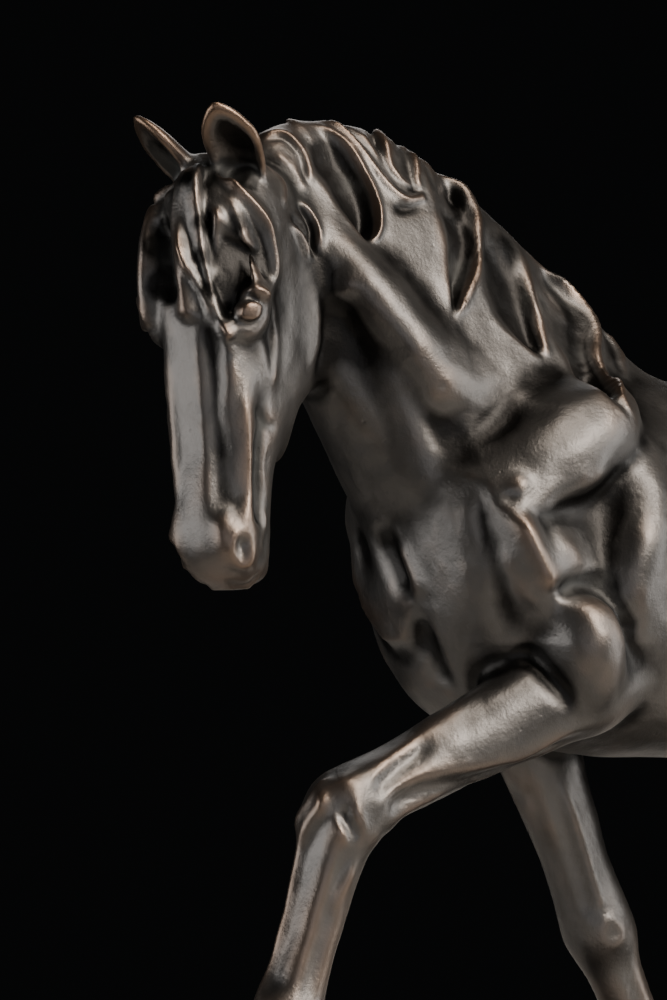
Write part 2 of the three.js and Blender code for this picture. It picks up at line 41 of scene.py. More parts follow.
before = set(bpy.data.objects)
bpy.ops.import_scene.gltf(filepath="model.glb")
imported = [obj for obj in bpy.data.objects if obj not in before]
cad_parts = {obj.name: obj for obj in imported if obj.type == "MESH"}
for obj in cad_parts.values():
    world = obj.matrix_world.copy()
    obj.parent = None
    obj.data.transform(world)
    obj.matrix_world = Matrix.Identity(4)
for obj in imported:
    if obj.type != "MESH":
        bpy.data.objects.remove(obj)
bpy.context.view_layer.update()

MM = 0.001
LIFT = 0.3  # the solids stand this far over the base, and the figure with them


def ridge(half, height):
    """The profile of a plain ridge, or of a groove where the height is negative."""
    return [(-half, 0), (0, height), (half, 0)]


# Trunk: [x, top, bottom, half width, taper, squareness].
TRUNK = [
    [-99, 172, 158, 6, 0, 2],
    [-97, 181, 149, 15, 0, 2.1],
    [-92, 189, 142, 22, 0, 2.2],
    [-84, 197, 136.5, 27, -0.05, 2.3],
    [-70, 203, 132.5, 29.5, -0.12, 2.3],
    [-54, 207, 130, 30, -0.18, 2.2],
    [-38, 208.5, 129, 30.5, -0.2, 2.2],
    [-20, 206, 128.5, 33, -0.1, 2.2],
    [0, 201.5, 130, 34.5, -0.04, 2.2],
    [20, 199, 133, 34.5, 0, 2.2],
    [40, 200, 138, 33, 0.02, 2.2],
    [56, 202.5, 144, 31, 0.02, 2.2],
    [72, 202, 148, 29, 0, 2.2],
    [85, 197.5, 150, 25, 0, 2.1],
    [94, 190, 154, 19, 0, 2],
    [99, 182, 162, 10, 0, 2],
]
# Neck: [crest x, crest z, throat x, throat z, half width, taper].
NECK = [
    [-28, 204, -84, 140, 27, -0.1],
    [-41, 208.5, -98, 155, 25, -0.2],
    [-51, 214.5, -103, 165, 22.5, -0.3],
    [-60, 223.5, -105.5, 173, 20, -0.34],
    [-72, 232.5, -107.5, 180, 18, -0.36],
    [-83, 241, -112.5, 188, 16, -0.36],
    [-96, 249.5, -118, 196, 14, -0.34],
    [-111, 255.5, -124, 204, 12, -0.3],
    [-126, 256.5, -130, 212, 10.5, -0.25],
    [-136, 253, -135.5, 217, 9.5, -0.2],
    [-142, 247, -140, 221, 8.5, -0.1],
]
NECK_SQUARE = 2.1
# Head: [down from the poll, front, back, half width, taper, squareness].
HEAD = [
    [-2, -9, -20, 5, 0, 2],
    [1, -6, -27, 8.5, 0.1, 2.1],
    [6, -3, -34, 10.5, 0.15, 2.3],
    [12, -1, -39, 11.5, 0.2, 2.5],
    [20, 0, -43, 11.8, 0.15, 2.7],
    [28, 0, -44, 11.4, 0.1, 2.8],
    [36, -0.5, -42.5, 10.6, 0.05, 2.8],
    [43, -1, -37, 10.4, 0.05, 2.7],
    [50, -1.3, -29, 9.7, 0.05, 2.6],
    [57, -1.5, -23.5, 8.8, 0, 2.5],
    [64, -1.2, -21.5, 8.1, 0, 2.4],
    [71, -0.8, -21, 7.8, 0, 2.3],
    [77, -2, -20.5, 7.6, 0, 2.3],
    [81, -5, -18, 6.6, 0, 2.2],
    [83.4, -9, -14.5, 4, 0, 2],
]
HEAD_SCALE = 80 / 83
HEAD_AT = (-158, -25, 247.5)
HEAD_YAW, HEAD_TUCK, HEAD_ROLL = (math.radians(a) for a in (33, 0.5, 2))

# Masses of the head: [down, front, left, radii the same way, lean outward in degrees].
HEAD_MASSES = [
    [17.5, -6.5, 10.4, 12, 4, 2.2, 14],
    [28.5, -7.5, 9.4, 7.5, 6, 4.2, 0],
    [27, -33, 6.5, 16, 13, 6.4, 0],
    [44, -23.5, 4.6, 15, 5, 4.2, -5],
    [44, -9, 6, 18, 3, 3.4, -4],
    [72.5, -5, 5.0, 6, 3.8, 2.9, 0],
    [79, -17.5, 0, 4, 4.5, 5, 0],
]
# On one side alone: the far brow and nasal bone against the dark, and the near nostril.
ONE_SIDED_MASSES = [
    [20.5, -3.4, -10.0, 12.5, 4.2, 2.3, -4],
    [47, -4.4, -4.9, 22, 3.4, 2.0, 0],
    [73.5, -7.5, 7.0, 6.5, 3.8, 2.9, 0],
]

# The near eye, in the picture.
EYE = (252, 312)

# Ears: root and tip in the head's directions, and [share, half breadth, half depth].
EAR_ROOT, EAR_TIP = [5, -14, 6.6], [-9.5, 2.5, 9.6]
EAR_WALL, EAR_SHIFT = 1.25, 1.8  # the hollow is this much narrower, and this far forward
EAR_ROWS = [
    [-0.1, 3.0, 3.2],
    [0, 3.4, 3.4],
    [0.16, 4.4, 3.8],
    [0.34, 5.4, 3.6],
    [0.52, 5.6, 3.2],
    [0.7, 4.9, 2.6],
    [0.86, 3.2, 1.8],
    [1, 0.5, 0.5],
]

# A strand of the forelock: its breadth from root to tip, and how deep it is rooted.
LEAF = [0.55, 0.9, 1, 0.98, 0.85, 0.55, 0.12]
STRAND_ROOT = 2
# Forelock: path in [down, left], half width, rise.
FORELOCK = [
    [[[2, -1], [12, 0.3], [21, 0.9], [31, 0.8]], 2.2, 1.6],
    [[[1, 1.4], [13, 1.8], [24, 3.6], [37, 8]], 2.2, 2],
]

# Muscles: [x, y outward, z, slope in degrees, long, short and sideways radii].
MUSCLES = [
    [-79, 16, 192, 30, 25, 13, 15.4],
    [-91, 15, 173, 106, 18, 9, 15],
    [-83, 16, 172, 112, 14, 7, 16.5],
    [-61, 15, 172, 78, 25, 10, 18],
    [-75, 21, 154.5, 103, 15.5, 9.5, 15.5],
    [-91, 9.5, 163, 110, 18, 8.5, 11],
    [70, 13, 185, -8, 30, 18, 19],
    [62, 15, 163, 80, 27, 19, 17.5],
    [45, 19, 146, 60, 15, 10, 12],
    [86, 12, 168, 100, 26, 12, 13.5],
]
# On one side alone: each gaskin's hamstring, and the plainer right shoulder.
SINGLE_MUSCLES = [
    [85, -16, 141, 69, 23, 8, 10],
    [77, 18, 140, 58, 28, 11, 12],
    [-72, 15.5, 175, 85, 20, 11, 17],
]
NECK_MUSCLES = [
    [-107, 10.5, 214, -47, 30, 7, 9],
    [-106, 6.5, 196, -60, 27, 6.5, 9],
]

# Legs: sections are [joint above, share of the way to the next, half depth, half width].
FORE = [
    [0, 0, 10, 7],
    [0, 0.6, 12, 8.5],
    [1, 0.05, 11.2, 9],
    [1, 0.25, 9.8, 8.2],
    [1, 0.5, 8.3, 7.2],
    [1, 0.78, 7.4, 6.4],
    [1, 0.95, 7.9, 6.9],
    [2, 0.08, 7.9, 6.9],
    [2, 0.24, 6.5, 5],
    [2, 0.5, 5.9, 4.4],
    [2, 0.82, 6, 4.6],
    [3, 0, 7.3, 5.9],
    [3, 0.5, 5.4, 4.7],
    [3, 0.88, 6.4, 5.9],
    [4, 0.05, 7.4, 6.9],
    [4, 1, 9.4, 8.4],
]
HIND = [
    [0, 0.1, 18, 8],
    [0, 0.5, 22, 12],
    [0, 0.9, 19.5, 12],
    [1, 0.25, 15, 9.5],
    [1, 0.52, 10.8, 7.4],
    [1, 0.8, 8.4, 5.8],
    [1, 0.97, 9.6, 6.6],
    [2, 0.14, 8, 6],
    [2, 0.32, 6.3, 4.8],
    [2, 0.6, 5.8, 4.5],
    [2, 0.86, 6.1, 4.7],
    [3, 0, 7.4, 5.9],
    [3, 0.5, 5.4, 4.7],
    [3, 0.88, 6.3, 5.8],
    [4, 0.05, 7.2, 6.8],
    [4, 1, 9, 8],
]
LEGS = {
    "left fore": (
        FORE,
        [[-60, -14, 166], [-67, -23.5, 150], [-126, -28, 125], [-138, -28, 86], [-136, -28, 70], [-135, -28, 60]],
    ),
    "right fore": (
        FORE,
        [[-72, 18, 168], [-62, 21, 145], [-41, 21, 90], [-24, 21, 50], [-28, 21, 34], [-31, 21, 22]],
    ),
    "left hind": (
        HIND,
        [[68, -15, 178], [53, -20, 138], [89, -20, 94], [111, -20, 48], [106, -20, 33], [103, -20, 22]],
    ),
    "right hind": (
        HIND,
        [[66, 15, 176], [42, 21, 136], [64, 21, 88], [46, 21, 46], [38, 21, 33], [34, 21, 22]],
    ),
}

# Tail: [x, y, z, half depth, half width].
TAIL_TWIST = 70  # degrees that a strand winds round on its way down
TAIL = [
    [88, 0, 188, 6, 6],
    [99, 0, 192, 6.5, 6],
    [110, -1, 190, 7.5, 6.5],
    [120, -2, 179, 9, 8],
    [126, -3, 160, 10.5, 9.5],
    [129, -3, 137, 10.5, 9.5],
    [131, -2, 113, 9, 8],
    [134, 0, 93, 6, 5.5],
    [139, 2, 80, 2.2, 2],
]

# Carving drawn in the picture. Strokes are [path, profile of [across, height], ends, both sides].
# Across runs to the left of travel, so it is to the picture's right of a path that goes down.
SCOOPS = [
    # left edge, right edge, depth, lift, lip
    [
        [(597, 318), (600, 335), (606, 352), (614, 368), (622, 380)], [(600, 312), (608, 326), (613, 342),
        (618, 362), (624, 380)], 1.0, 1.2, 0.1,
    ],
    [
        [(523, 236), (524, 262), (532, 295), (545, 335), (570, 365), (600, 392), (630, 420)], [(545, 236),
        (568, 255), (582, 280), (588, 315), (592, 355), (610, 388), (633, 424)], 3.6, 2.4, 0.2,
    ],
    [
        [(482, 208), (480, 240), (478, 275), (488, 306), (506, 330), (528, 347), (544, 362)], [(505, 222),
        (515, 240), (521, 265), (530, 298), (539, 322), (541, 345), (546, 363)], 3.2, 2.0, 0.4,
    ],
    [
        [(414, 140), (420, 165), (430, 198), (440, 228), (447, 260), (449, 290), (452, 320)], [(432, 146),
        (455, 168), (468, 192), (474, 225), (473, 252), (462, 285), (453, 321)], 3.6, 2.6, 0.3,
    ],
    [
        [(384, 128), (388, 142), (390, 160), (398, 178), (414, 194)], [(400, 134), (408, 148), (414, 165),
        (416, 182), (420, 196)], 1.4, 1.4, 0.2,
    ],
    [
        [(345, 120), (360, 132), (372, 148), (384, 170), (398, 186), (416, 192)], [(372, 124), (380, 138),
        (384, 155), (390, 172), (404, 186), (419, 193)], 2.2, 1.6, 0.8,
    ],
    [
        [(276, 122), (292, 140), (306, 162), (322, 187), (340, 211), (355, 228), (366, 243)], [(300, 116),
        (328, 132), (348, 150), (364, 176), (374, 200), (375, 222), (367, 243)], 4.0, 1.8, 0.2,
    ],
]
MANE_STROKES = [
    # the hooked lock's bright edge
    [
        [(325, 119), (342, 132), (358, 148), (374, 169), (388, 187), (402, 199), (414, 201), (423, 195)],
        [(-3.2, 0), (-1.2, 0.5), (0, 1.7), (0.9, 0.2), (1.6, -0.9), (3.6, 0)], (0.12, 0.04),
    ],
    [[(392, 208), (402, 211), (414, 208), (426, 202)], [(-1.6, 0), (0, -1.0), (1.8, 0)], (0.3, 0.3)],
    # strands on the crest
    [[(312, 116), (336, 128), (352, 143), (362, 160)], ridge(1.0, 0.6), (0.2, 0.3)],
    [[(406, 138), (418, 150), (428, 172), (436, 196)], ridge(1.4, -0.8), (0.2, 0.3)],
    [[(534, 242), (552, 258), (566, 282), (576, 312), (582, 345)], ridge(1.4, 0.7), (0.2, 0.3)],
    [[(492, 218), (500, 240), (506, 270), (514, 300)], ridge(1.4, 0.6), (0.2, 0.3)],
]
HEAD_STROKES = [
    # nose: the flute beside the nasal bone, the side plane and the facial crest
    [
        [(206, 318), (208, 345), (211, 400), (214, 450), (216, 500), (217, 524)], [(-4.5, 0), (-2, 0.1),
        (0.6, -1.1), (4.6, 0.7), (8, 0)], (0.25, 0.3), 0.3,
    ],
    [
        [(246, 372), (245, 420), (246, 460), (248, 500), (250, 528)], [(-5, 0), (-2.4, -0.5), (0, 0.9),
        (1.4, 0.2), (3.4, -1.0), (7, 0)], (0.25, 0.3), 1,
    ],
    # temple: the hollow, its outer and inner rims
    [
        [(214, 168), (232, 186), (250, 203), (264, 222), (271, 245), (273, 270), (271, 292)], [(-3.4, 0),
        (-1.6, -0.3), (0, 1.3), (1.2, 0.5), (3.0, 0)], (0.1, 0.15), 1,
    ],
    # cheekbone and folds before the mouth
    [
        [(274, 296), (273, 330), (273, 360), (270, 394)], [(-3.0, 0), (-1.2, -0.2), (0, 0.6), (2.4, 0)],
        (0.2, 0.2), 1,
    ],
    [[(262, 336), (262, 352), (266, 372), (269, 388)], ridge(3.0, 0.7), (0.3, 0.3), 1],
    [[(252, 402), (258, 416), (268, 426), (278, 430)], ridge(1.8, -0.6), (0.3, 0.3), 1],
    [
        [(262, 420), (256, 440), (254, 470), (257, 505), (261, 540)], [(-2.6, 0), (0, -0.7), (2.6, 0.1), (4, 0)],
        (0.3, 0.35), 1,
    ],
    [[(268, 440), (263, 462), (264, 492)], ridge(1.6, 0.5), (0.3, 0.3), 1],
    # nostrils and lips
    [
        [(243, 530), (251, 539), (253, 555), (247, 568), (238, 563), (234, 548), (237, 536), (243, 530)],
        ridge(1.8, 0.6), (0.03, 0.03), 1,
    ],
    [[(167, 541), (175, 553), (184, 569)], ridge(1.4, -1.0), (0.3, 0.3), 0],
    [[(226, 580), (238, 585), (250, 583), (260, 572)], ridge(1.4, -0.7), (0.2, 0.2), 1],
    [[(262, 505), (266, 525), (262, 545), (266, 562)], ridge(1.6, 0.5), (0.2, 0.3), 1],
    # brow
    [
        [(236, 304), (244, 291), (256, 285), (267, 290), (272, 302)], [(-3.2, 0), (-1.8, -0.3), (0, 0.6),
        (1.4, -0.3), (2.6, 0)], (0.25, 0.25), 1,
    ],
    # forehead: strands of the forelock and the ridges beside it
    [
        [(190, 196), (193, 230), (199, 262), (208, 285), (218, 306), (228, 323)], [(-2.2, 0), (0, -2.3),
        (1.8, -0.8), (4.5, 0)], (0.1, 0.1), 0,
    ],
    [
        [(176, 190), (181, 222), (185, 258), (188, 295), (190, 326)], [(-3.4, 0), (-1.6, 1.3), (0, 1.9),
        (1.6, 1.3), (3.2, 0)], (0.05, 0.15), 0,
    ],
    [
        [(184, 222), (189, 252), (198, 277), (210, 302), (222, 322), (235, 337)], [(-1.9, 0), (0, 1.8), (1.8, 0)],
        (0.2, 0.08), 0,
    ],
    [[(190, 268), (196, 292), (202, 316)], ridge(1.8, -1.0), (0.3, 0.3), 0],
    [[(217, 205), (214, 236), (213, 262), (215, 288)], ridge(1.5, 1.0), (0.1, 0.2), 0],
    [[(219, 208), (225, 226), (232, 243), (239, 256)], ridge(1.8, 0.9), (0.25, 0.4), 0],
    [[(202, 206), (201, 240), (206, 274)], ridge(3.4, -2.2), (0.3, 0.3), 0],
    [[(165, 214), (166, 245), (170, 280), (175, 306)], [(-3.6, 0), (0, -2.4), (3.0, 0)], (0.25, 0.3), 0],
    [[(190, 160), (200, 168), (210, 180)], ridge(1.8, 0.8), (0.2, 0.2), 0],
]
HEAD_DABS = [
    [(238, 321), 1.0, -0.7, 1.0, True],
    [(244, 549), 2.9, -1.4, 1.6, True],
    [(246, 246), 7.6, -3.2, 1.6, False],
    [(229, 286), 3.4, -1.0, 1.4, False],
    [(292, 350), 8.0, 0.5, 1.6, True],
]
# Behind the ear, over the join of head and neck.
NAPE_STROKES = [
    [
        [(262, 140), (280, 133), (298, 145), (307, 162), (308, 188)], [(-2.4, 0), (-1.0, -0.7), (0, 1.2),
        (1.2, 0.4), (3.4, 0)], (0.15, 0.15),
    ],
    [[(270, 152), (288, 164), (299, 180), (304, 196)], ridge(2.0, 0.9), (0.2, 0.2)],
    [[(276, 172), (284, 190), (282, 210)], ridge(1.8, 0.7), (0.3, 0.3)],
    [
        [(296, 200), (310, 216), (317, 238), (315, 262)], [(-2.4, 0), (-1.1, -0.8), (0, 1.1), (1.2, 0.3),
        (2.6, 0)], (0.2, 0.4),
    ],
    [[(288, 222), (300, 236), (306, 250), (309, 264)], [(-2.0, 0), (0, 0.9), (1.4, -0.7), (2.6, 0)], (0.2, 0.4)],
    [
        [(322, 280), (326, 320), (322, 352), (312, 386)], [(-5.5, 0), (-2.6, 0.35), (0, -0.9), (3.4, 0)],
        (0.35, 0.35),
    ],
]
BODY_STROKES = [
    # neck: the long muscle's ridge and the valley under it
    [[(338, 262), (365, 296), (400, 335), (432, 372), (462, 415)], ridge(9, 1.5), (0.2, 0.2), 1],
    [[(326, 296), (352, 340), (385, 390), (410, 435), (430, 480)], ridge(9, -2.0), (0.15, 0.3), 1],
    [[(362, 335), (392, 385), (412, 425), (424, 470)], ridge(5, 1.2), (0.3, 0.3), 1],
    [[(420, 330), (455, 372), (486, 408), (520, 432)], ridge(8, -1.0), (0.3, 0.3), 1],
    # front of the shoulder
    [[(536, 398), (508, 425), (488, 450), (474, 480)], ridge(9, -0.8), (0.3, 0.25), 0.5],
    [
        [(470, 470), (480, 505), (487, 535), (495, 568), (506, 602), (518, 640)], [(-7, 0), (-3.5, -0.6),
        (0, -1.7), (3.2, -0.2), (6.5, 0.9), (12, 0)], (0.3, 0.2), 0.4,
    ],
    [
        [(512, 512), (524, 535), (538, 564), (552, 594)], [(-6, 0), (-3, -0.4), (0.8, 1.7), (5, -0.5), (9, 0)],
        (0.3, 0.2), 0.3,
    ],
    [
        [(528, 518), (552, 514), (580, 502), (604, 484), (620, 458)], [(-9, 0), (-1, -0.7), (4, 0.6), (9, 0)],
        (0.3, 0.3), 0.3,
    ],
    [
        [(556, 600), (572, 588), (592, 586), (612, 600), (626, 625), (630, 660), (624, 700)], [(-11, 0),
        (-5, 0.5), (0.8, -1.7), (5, 0)], (0.15, 0.35), 0.4,
    ],
    [[(612, 480), (606, 520), (606, 560), (612, 598)], ridge(8, -0.6), (0.3, 0.25), 1],
    [[(646, 500), (636, 546), (630, 590), (628, 625)], ridge(7, 1.5), (0.3, 0.3), 1],
    [[(640, 640), (634, 675), (628, 710), (624, 738)], ridge(4.0, -1.0), (0.3, 0.3), 1],
    # breast
    [[(376, 520), (386, 548), (398, 578), (412, 604)], [(-6.5, 0), (0.5, -2.4), (6, 0)], (0.35, 0.35), 0.4],
    [[(408, 612), (424, 640), (436, 668), (448, 694)], [(-6.5, 0), (0.5, -2.4), (6, 0)], (0.35, 0.3), 0.4],
    [[(398, 540), (410, 572), (424, 600)], [(-4, 0), (0, 0.8), (5, 0)], (0.3, 0.3), 1],
]
BODY_DABS = [
    [(519, 484), 3.2, 0.9],
    [(510, 498), 2.4, -0.7],
    [(578, 545), 10.0, 0.8],
    [(584, 640), 10.0, 1.5],
    [(442, 386), 1.2, -0.4],
]

LEG_STROKES = [
    # raised foreleg: the groove over the knee, the crease along the forearm and its upper edge
    [
        [(434, 738), (420, 752), (400, 765), (385, 780), (372, 792)], [(-4, 0), (-2, 0.5), (0, -1.3), (2.8, 0)],
        (0.3, 0.2), 0,
    ],
    [
        [(386, 812), (400, 800), (430, 788), (470, 780), (500, 772), (530, 760), (562, 744), (600, 732)],
        [(-2.6, 0), (-0.6, -1.5), (0.6, -1.2), (2.6, 0.4), (5, 0)], (0.15, 0.2), 0,
    ],
    [[(336, 790), (375, 768), (440, 723), (500, 672)], ridge(3.5, 0.6), (0.15, 0.25), 0],
    [
        [(503, 652), (528, 658), (545, 676), (562, 692), (580, 716)], [(-5, 0), (-3, 0.2), (0, -0.9), (4, 0)],
        (0.3, 0.3), 0,
    ],
    [[(395, 842), (430, 822), (480, 806), (540, 792)], ridge(4, -0.9), (0.2, 0.2), 0],
    # knee and shin
    [
        [(336, 786), (331, 812), (316, 830), (305, 860), (293, 910), (277, 960), (266, 1000)], [(-5, 0),
        (-3.0, 0.4), (0, -1.5), (4.5, 0)], (0.15, 0.1), 0,
    ],
    [[(333, 778), (317, 789), (312, 801), (299, 818), (294, 836)], ridge(1.8, 0.8), (0.15, 0.15), 0],
    [[(317, 789), (324, 800), (326, 812)], ridge(1.8, 0.6), (0.2, 0.3), 0],
    [
        [(342, 808), (350, 826), (358, 842)], [(-3.8, 0), (-2.2, 0.3), (0, -1.5), (2.2, 0.3), (3.8, 0)],
        (0.2, 0.25), 0,
    ],
    [[(357, 862), (341, 888), (328, 914)], ridge(2, 0.8), (0.3, 0.3), 0],
    # standing foreleg: the edge of its lit side
    [
        [(556, 772), (574, 830), (589, 880), (600, 918)], [(-4, 0), (-1.6, -0.8), (0.4, 0.9), (3.4, 0)],
        (0.25, 0.2), 0,
    ],
    [[(606, 918), (622, 928), (620, 944), (604, 944), (600, 930), (606, 918)], ridge(1.3, 0.8), (0.02, 0.02), 0],
]

# Dark patina and painted shade left in the deepest hollows: [place in the picture, radius in millimetres].
DARK_PATINA_AND_SHADE = [
    [(150, 246), 5.0],
    [(154, 284), 4.5],
    [(199, 222), 3.2],
    [(200, 256), 3.2],
    [(208, 290), 2.6],
    [(238, 222), 4.0],
    [(250, 256), 4.6],
    [(246, 286), 3.6],
    [(186, 178), 4.2],
    [(204, 168), 4.0],
    [(322, 158), 6.5],
    [(346, 200), 6.5],
    [(458, 198), 6.0],
    [(462, 246), 6.0],
    [(504, 250), 6.5],
    [(520, 302), 6.5],
    [(562, 268), 6.0],
    [(578, 322), 6.0],
]

# Base.
BASE_LENGTH, BASE_WIDTH, BASE_HEIGHT = 262, 98, 22
BASE_SQUARE = 2.6

# Swellings that a hand leaves in wax: [spacing, height, seed].
WAX = [[2.2, 0.045, 3], [6.5, 0.12, 4]]
CAST_SOFTNESS = 0.45  # half size of the box that rounds off the carving, as casting does
RIDGE_REACH, HOLLOW_REACH = 1.6, 5.0  # half sizes of the boxes that tell a ridge and a hollow
RIGHT_SOFTNESS = 1.9  # the hidden side's muscles are blended this much more softly
TAPER_END = 1.2  # a section's taper goes on to this share of its half depth

# Studio lights: [name, place, size, watts, colour].
LIGHTS = [
    ["key", (0.38, -0.80, 0.62), (0.45, 0.6), 15.5, "#fff6ec"],
    ["top front", (0.064, -0.512, 1.04), (0.35, 0.35), 4.5, "#fff3e6"],
    ["left", (-1.0, 0.10, 0.13), (0.85, 0.5), 5, "#f7f6f6"],
    ["right", (0.85, -0.40, 0.22), (0.4, 0.7), 5, "#f4f3f2"],
    ["back", (0.25, 0.7, 0.75), (0.5, 0.4), 1.2, "#ffffff"],
    ["low fill", (-0.35, -1.1, -0.02), (1.2, 0.5), 1.8, "#f6f8ff"],
]
LIT_POINT = (-0.07, -0.01, 0.19)

# The viewpoint that the carving's paths are drawn from, as across and down a picture 667 by 1000.
CAMERA_PLACE = (-0.3362, -0.4742, 0.1843)
CAMERA_LENS, CAMERA_SENSOR, CAMERA_TURN = 93.6, 36, 25
VIEW_POINT = np.array([-336.2, -474.2, 184.0])
VIEW_LOOK = np.array([math.sin(math.radians(CAMERA_TURN)), math.cos(math.radians(CAMERA_TURN)), 0.0])
VIEW_RIGHT = np.array([VIEW_LOOK[1], -VIEW_LOOK[0], 0.0])
VIEW_SCALE = 2600.0
VIEW_MIDDLE = (333.5, 500)
VIEW_NEAR, VIEW_FAR, VIEW_STEP = 400, 720, 0.7
UP = np.array([0.0, 0.0, 1.0])


# ---------------------------------------------------------------- curves and vectors


def between(rows, t):
    """A uniform Catmull-Rom curve through rows of numbers, at every t of an array."""
    rows = np.asarray(rows, float)
    t = np.asarray(t, float)
    last = len(rows) - 1
    i = np.clip(np.floor(t).astype(int), 0, last - 1)
    u = (t - i)[..., None]
    a, b, c, d = (rows[np.clip(i + k, 0, last)] for k in (-1, 0, 1, 2))
    return 0.5 * (2 * b + (c - a) * u + (2 * a - 5 * b + 4 * c - d) * u**2 + (3 * b - a - 3 * c + d) * u**3)


def unit(v):
    """Vectors of length one."""
    v = np.asarray(v, float)
    return v / np.maximum(np.linalg.norm(v, axis=-1, keepdims=True), 1e-9)


def signed_power(x, e):
    """The power of a number's size, with its sign kept."""
    return np.sign(x) * np.abs(x) ** e


def smooth_min(a, b, k):
    """The smaller of two fields, eased into each other over k."""
    h = np.maximum(k - np.abs(a - b), 0) / k
    return np.minimum(a, b) - h * h * (k / 4)


# ---------------------------------------------------------------- the figure as a field


class Clay:
    """A solid as a signed field on a graded grid: negative inside, millimetres near the skin."""

    MARGIN = 5.0

    def __init__(self, *axes):
        self.axes = [np.asarray(a, np.float32) for a in axes]
        self.field = np.full([len(a) for a in axes], 30.0, np.float32)

    def window(self, low, high, margin=MARGIN):
        """The part of the grid round a box, and its coordinates ready to broadcast."""
        part = tuple(
            slice(max(0, int(np.searchsorted(a, l - margin)) - 1), int(np.searchsorted(a, h + margin)) + 1)
            for a, l, h in zip(self.axes, low, high)
        )
        x, y, z = (a[p] for a, p in zip(self.axes, part))
        return part, x[:, None, None], y[None, :, None], z[None, None, :]

    def add(self, part, d, blend):
        """A solid joined on, eased in over the blend."""
        self.field[part] = smooth_min(self.field[part], d.astype(np.float32), blend)

    def carve(self, part, d, blend):
        """A solid taken away, eased over the blend."""
        self.field[part] = -smooth_min(-self.field[part], d.astype(np.float32), blend)

    def ellipsoid(self, centre, axes, radii, blend, margin=MARGIN):
        """An ellipsoid joined on: its scaled distance over its own slope, which is near enough true."""
        centre, axes, radii = (np.asarray(v, np.float32) for v in (centre, axes, radii))
        reach = np.sqrt(((radii[:, None] * axes) ** 2).sum(0))
        part, x, y, z = self.window(centre - reach, centre + reach, margin)
        q = [(x - centre[0]) * e[0] + (y - centre[1]) * e[1] + (z - centre[2]) * e[2] for e in axes]
        k0 = np.sqrt(sum((v / r) ** 2 for v, r in zip(q, radii)))
        k1 = np.sqrt(sum((v / (r * r)) ** 2 for v, r in zip(q, radii)))
        d = k0 * (k0 - 1) / np.maximum(k1, 1e-6)
        self.add(part, d, blend)

    def at(self, points):
        """The field at points, by straight interpolation in the grid."""
        index = [np.interp(p, a, np.arange(len(a))) for p, a in zip(points.T, self.axes)]
        low = [np.clip(i.astype(int), 0, len(a) - 2) for i, a in zip(index, self.axes)]
        f = [i - l for i, l in zip(index, low)]
        total = 0
        for corner in np.ndindex(2, 2, 2):
            weight = 1
            for c, g in zip(corner, f):
                weight = weight * (g if c else 1 - g)
            total = total + weight * self.field[tuple(l + c for l, c in zip(low, corner))]
        return total

    def slope(self, points, step=0.6):
        """The field's gradient at points."""
        return np.stack(
            [(self.at(points + e) - self.at(points - e)) / (2 * step) for e in np.eye(3) * step], -1
        )

    def on_skin(self, points, rounds=6):
        """Points moved on to the nearest skin, and the way out of it."""
        p = np.array(points, float)
        for _ in range(rounds):
            g = self.slope(p)
            p = p - self.at(p)[:, None] * g / np.maximum((g**2).sum(-1, keepdims=True), 0.2)
        return p, unit(self.slope(p))


def superellipse(u_mm, half, v_mm, width, square):
    """Signed distance, near enough, from a superellipse in its own plane."""
    u, v = np.abs(u_mm / half), np.abs(v_mm / width)
    rho = (u**square + v**square) ** (1 / square)
    far = np.sqrt(u_mm * u_mm + v_mm * v_mm)
    d = far * (1 - 1 / np.maximum(rho, 1e-3))
    return np.where(rho < 0.05, -np.minimum(half, width) * 0.9, d)


def sighted(clay, places):
    """Points of the skin behind places of the picture; a place off the skin takes the nearest skin."""
    places = np.asarray(places, float)
    across = (places[:, :1] - VIEW_MIDDLE[0]) / VIEW_SCALE * VIEW_RIGHT
    above = (VIEW_MIDDLE[1] - places[:, 1:]) / VIEW_SCALE * UP
    rays = VIEW_LOOK + across + above
    depth = np.arange(VIEW_NEAR, VIEW_FAR, VIEW_STEP)
    samples = VIEW_POINT + rays[:, None] * depth[:, None]
    values = clay.at(samples.reshape(-1, 3)).reshape(len(places), -1)
    inside = values < 0
    first = np.where(inside.any(1), inside.argmax(1), values.argmin(1))
    points = samples[np.arange(len(places)), first]
    return clay.on_skin(points, 8)


def traced(clay, path, spacing=6.0):
    """A smooth path over the skin through places of the picture, with the ways out of it."""
    path = np.asarray(path, float)
    run = np.linalg.norm(np.diff(path, axis=0), axis=1).sum()
    t = np.linspace(0, len(path) - 1, max(6, int(run / spacing)))
    points, out = sighted(clay, between(path, t))
    return settle_path(points, out)


def smooth_along(values, rounds):
    """Each row drawn halfway to its neighbours' mean, again and again, with the ends held."""
    for _ in range(rounds):
        values[1:-1] = (values[:-2] + 2 * values[1:-1] + values[2:]) / 4


def settle_path(points, out, rounds=3):
    """The path's kinks smoothed, its ends held."""
    for _ in range(rounds):
        out[1:-1] = unit(out[:-2] + 2 * out[1:-1] + out[2:])
    smooth_along(points, rounds)
    return points, out


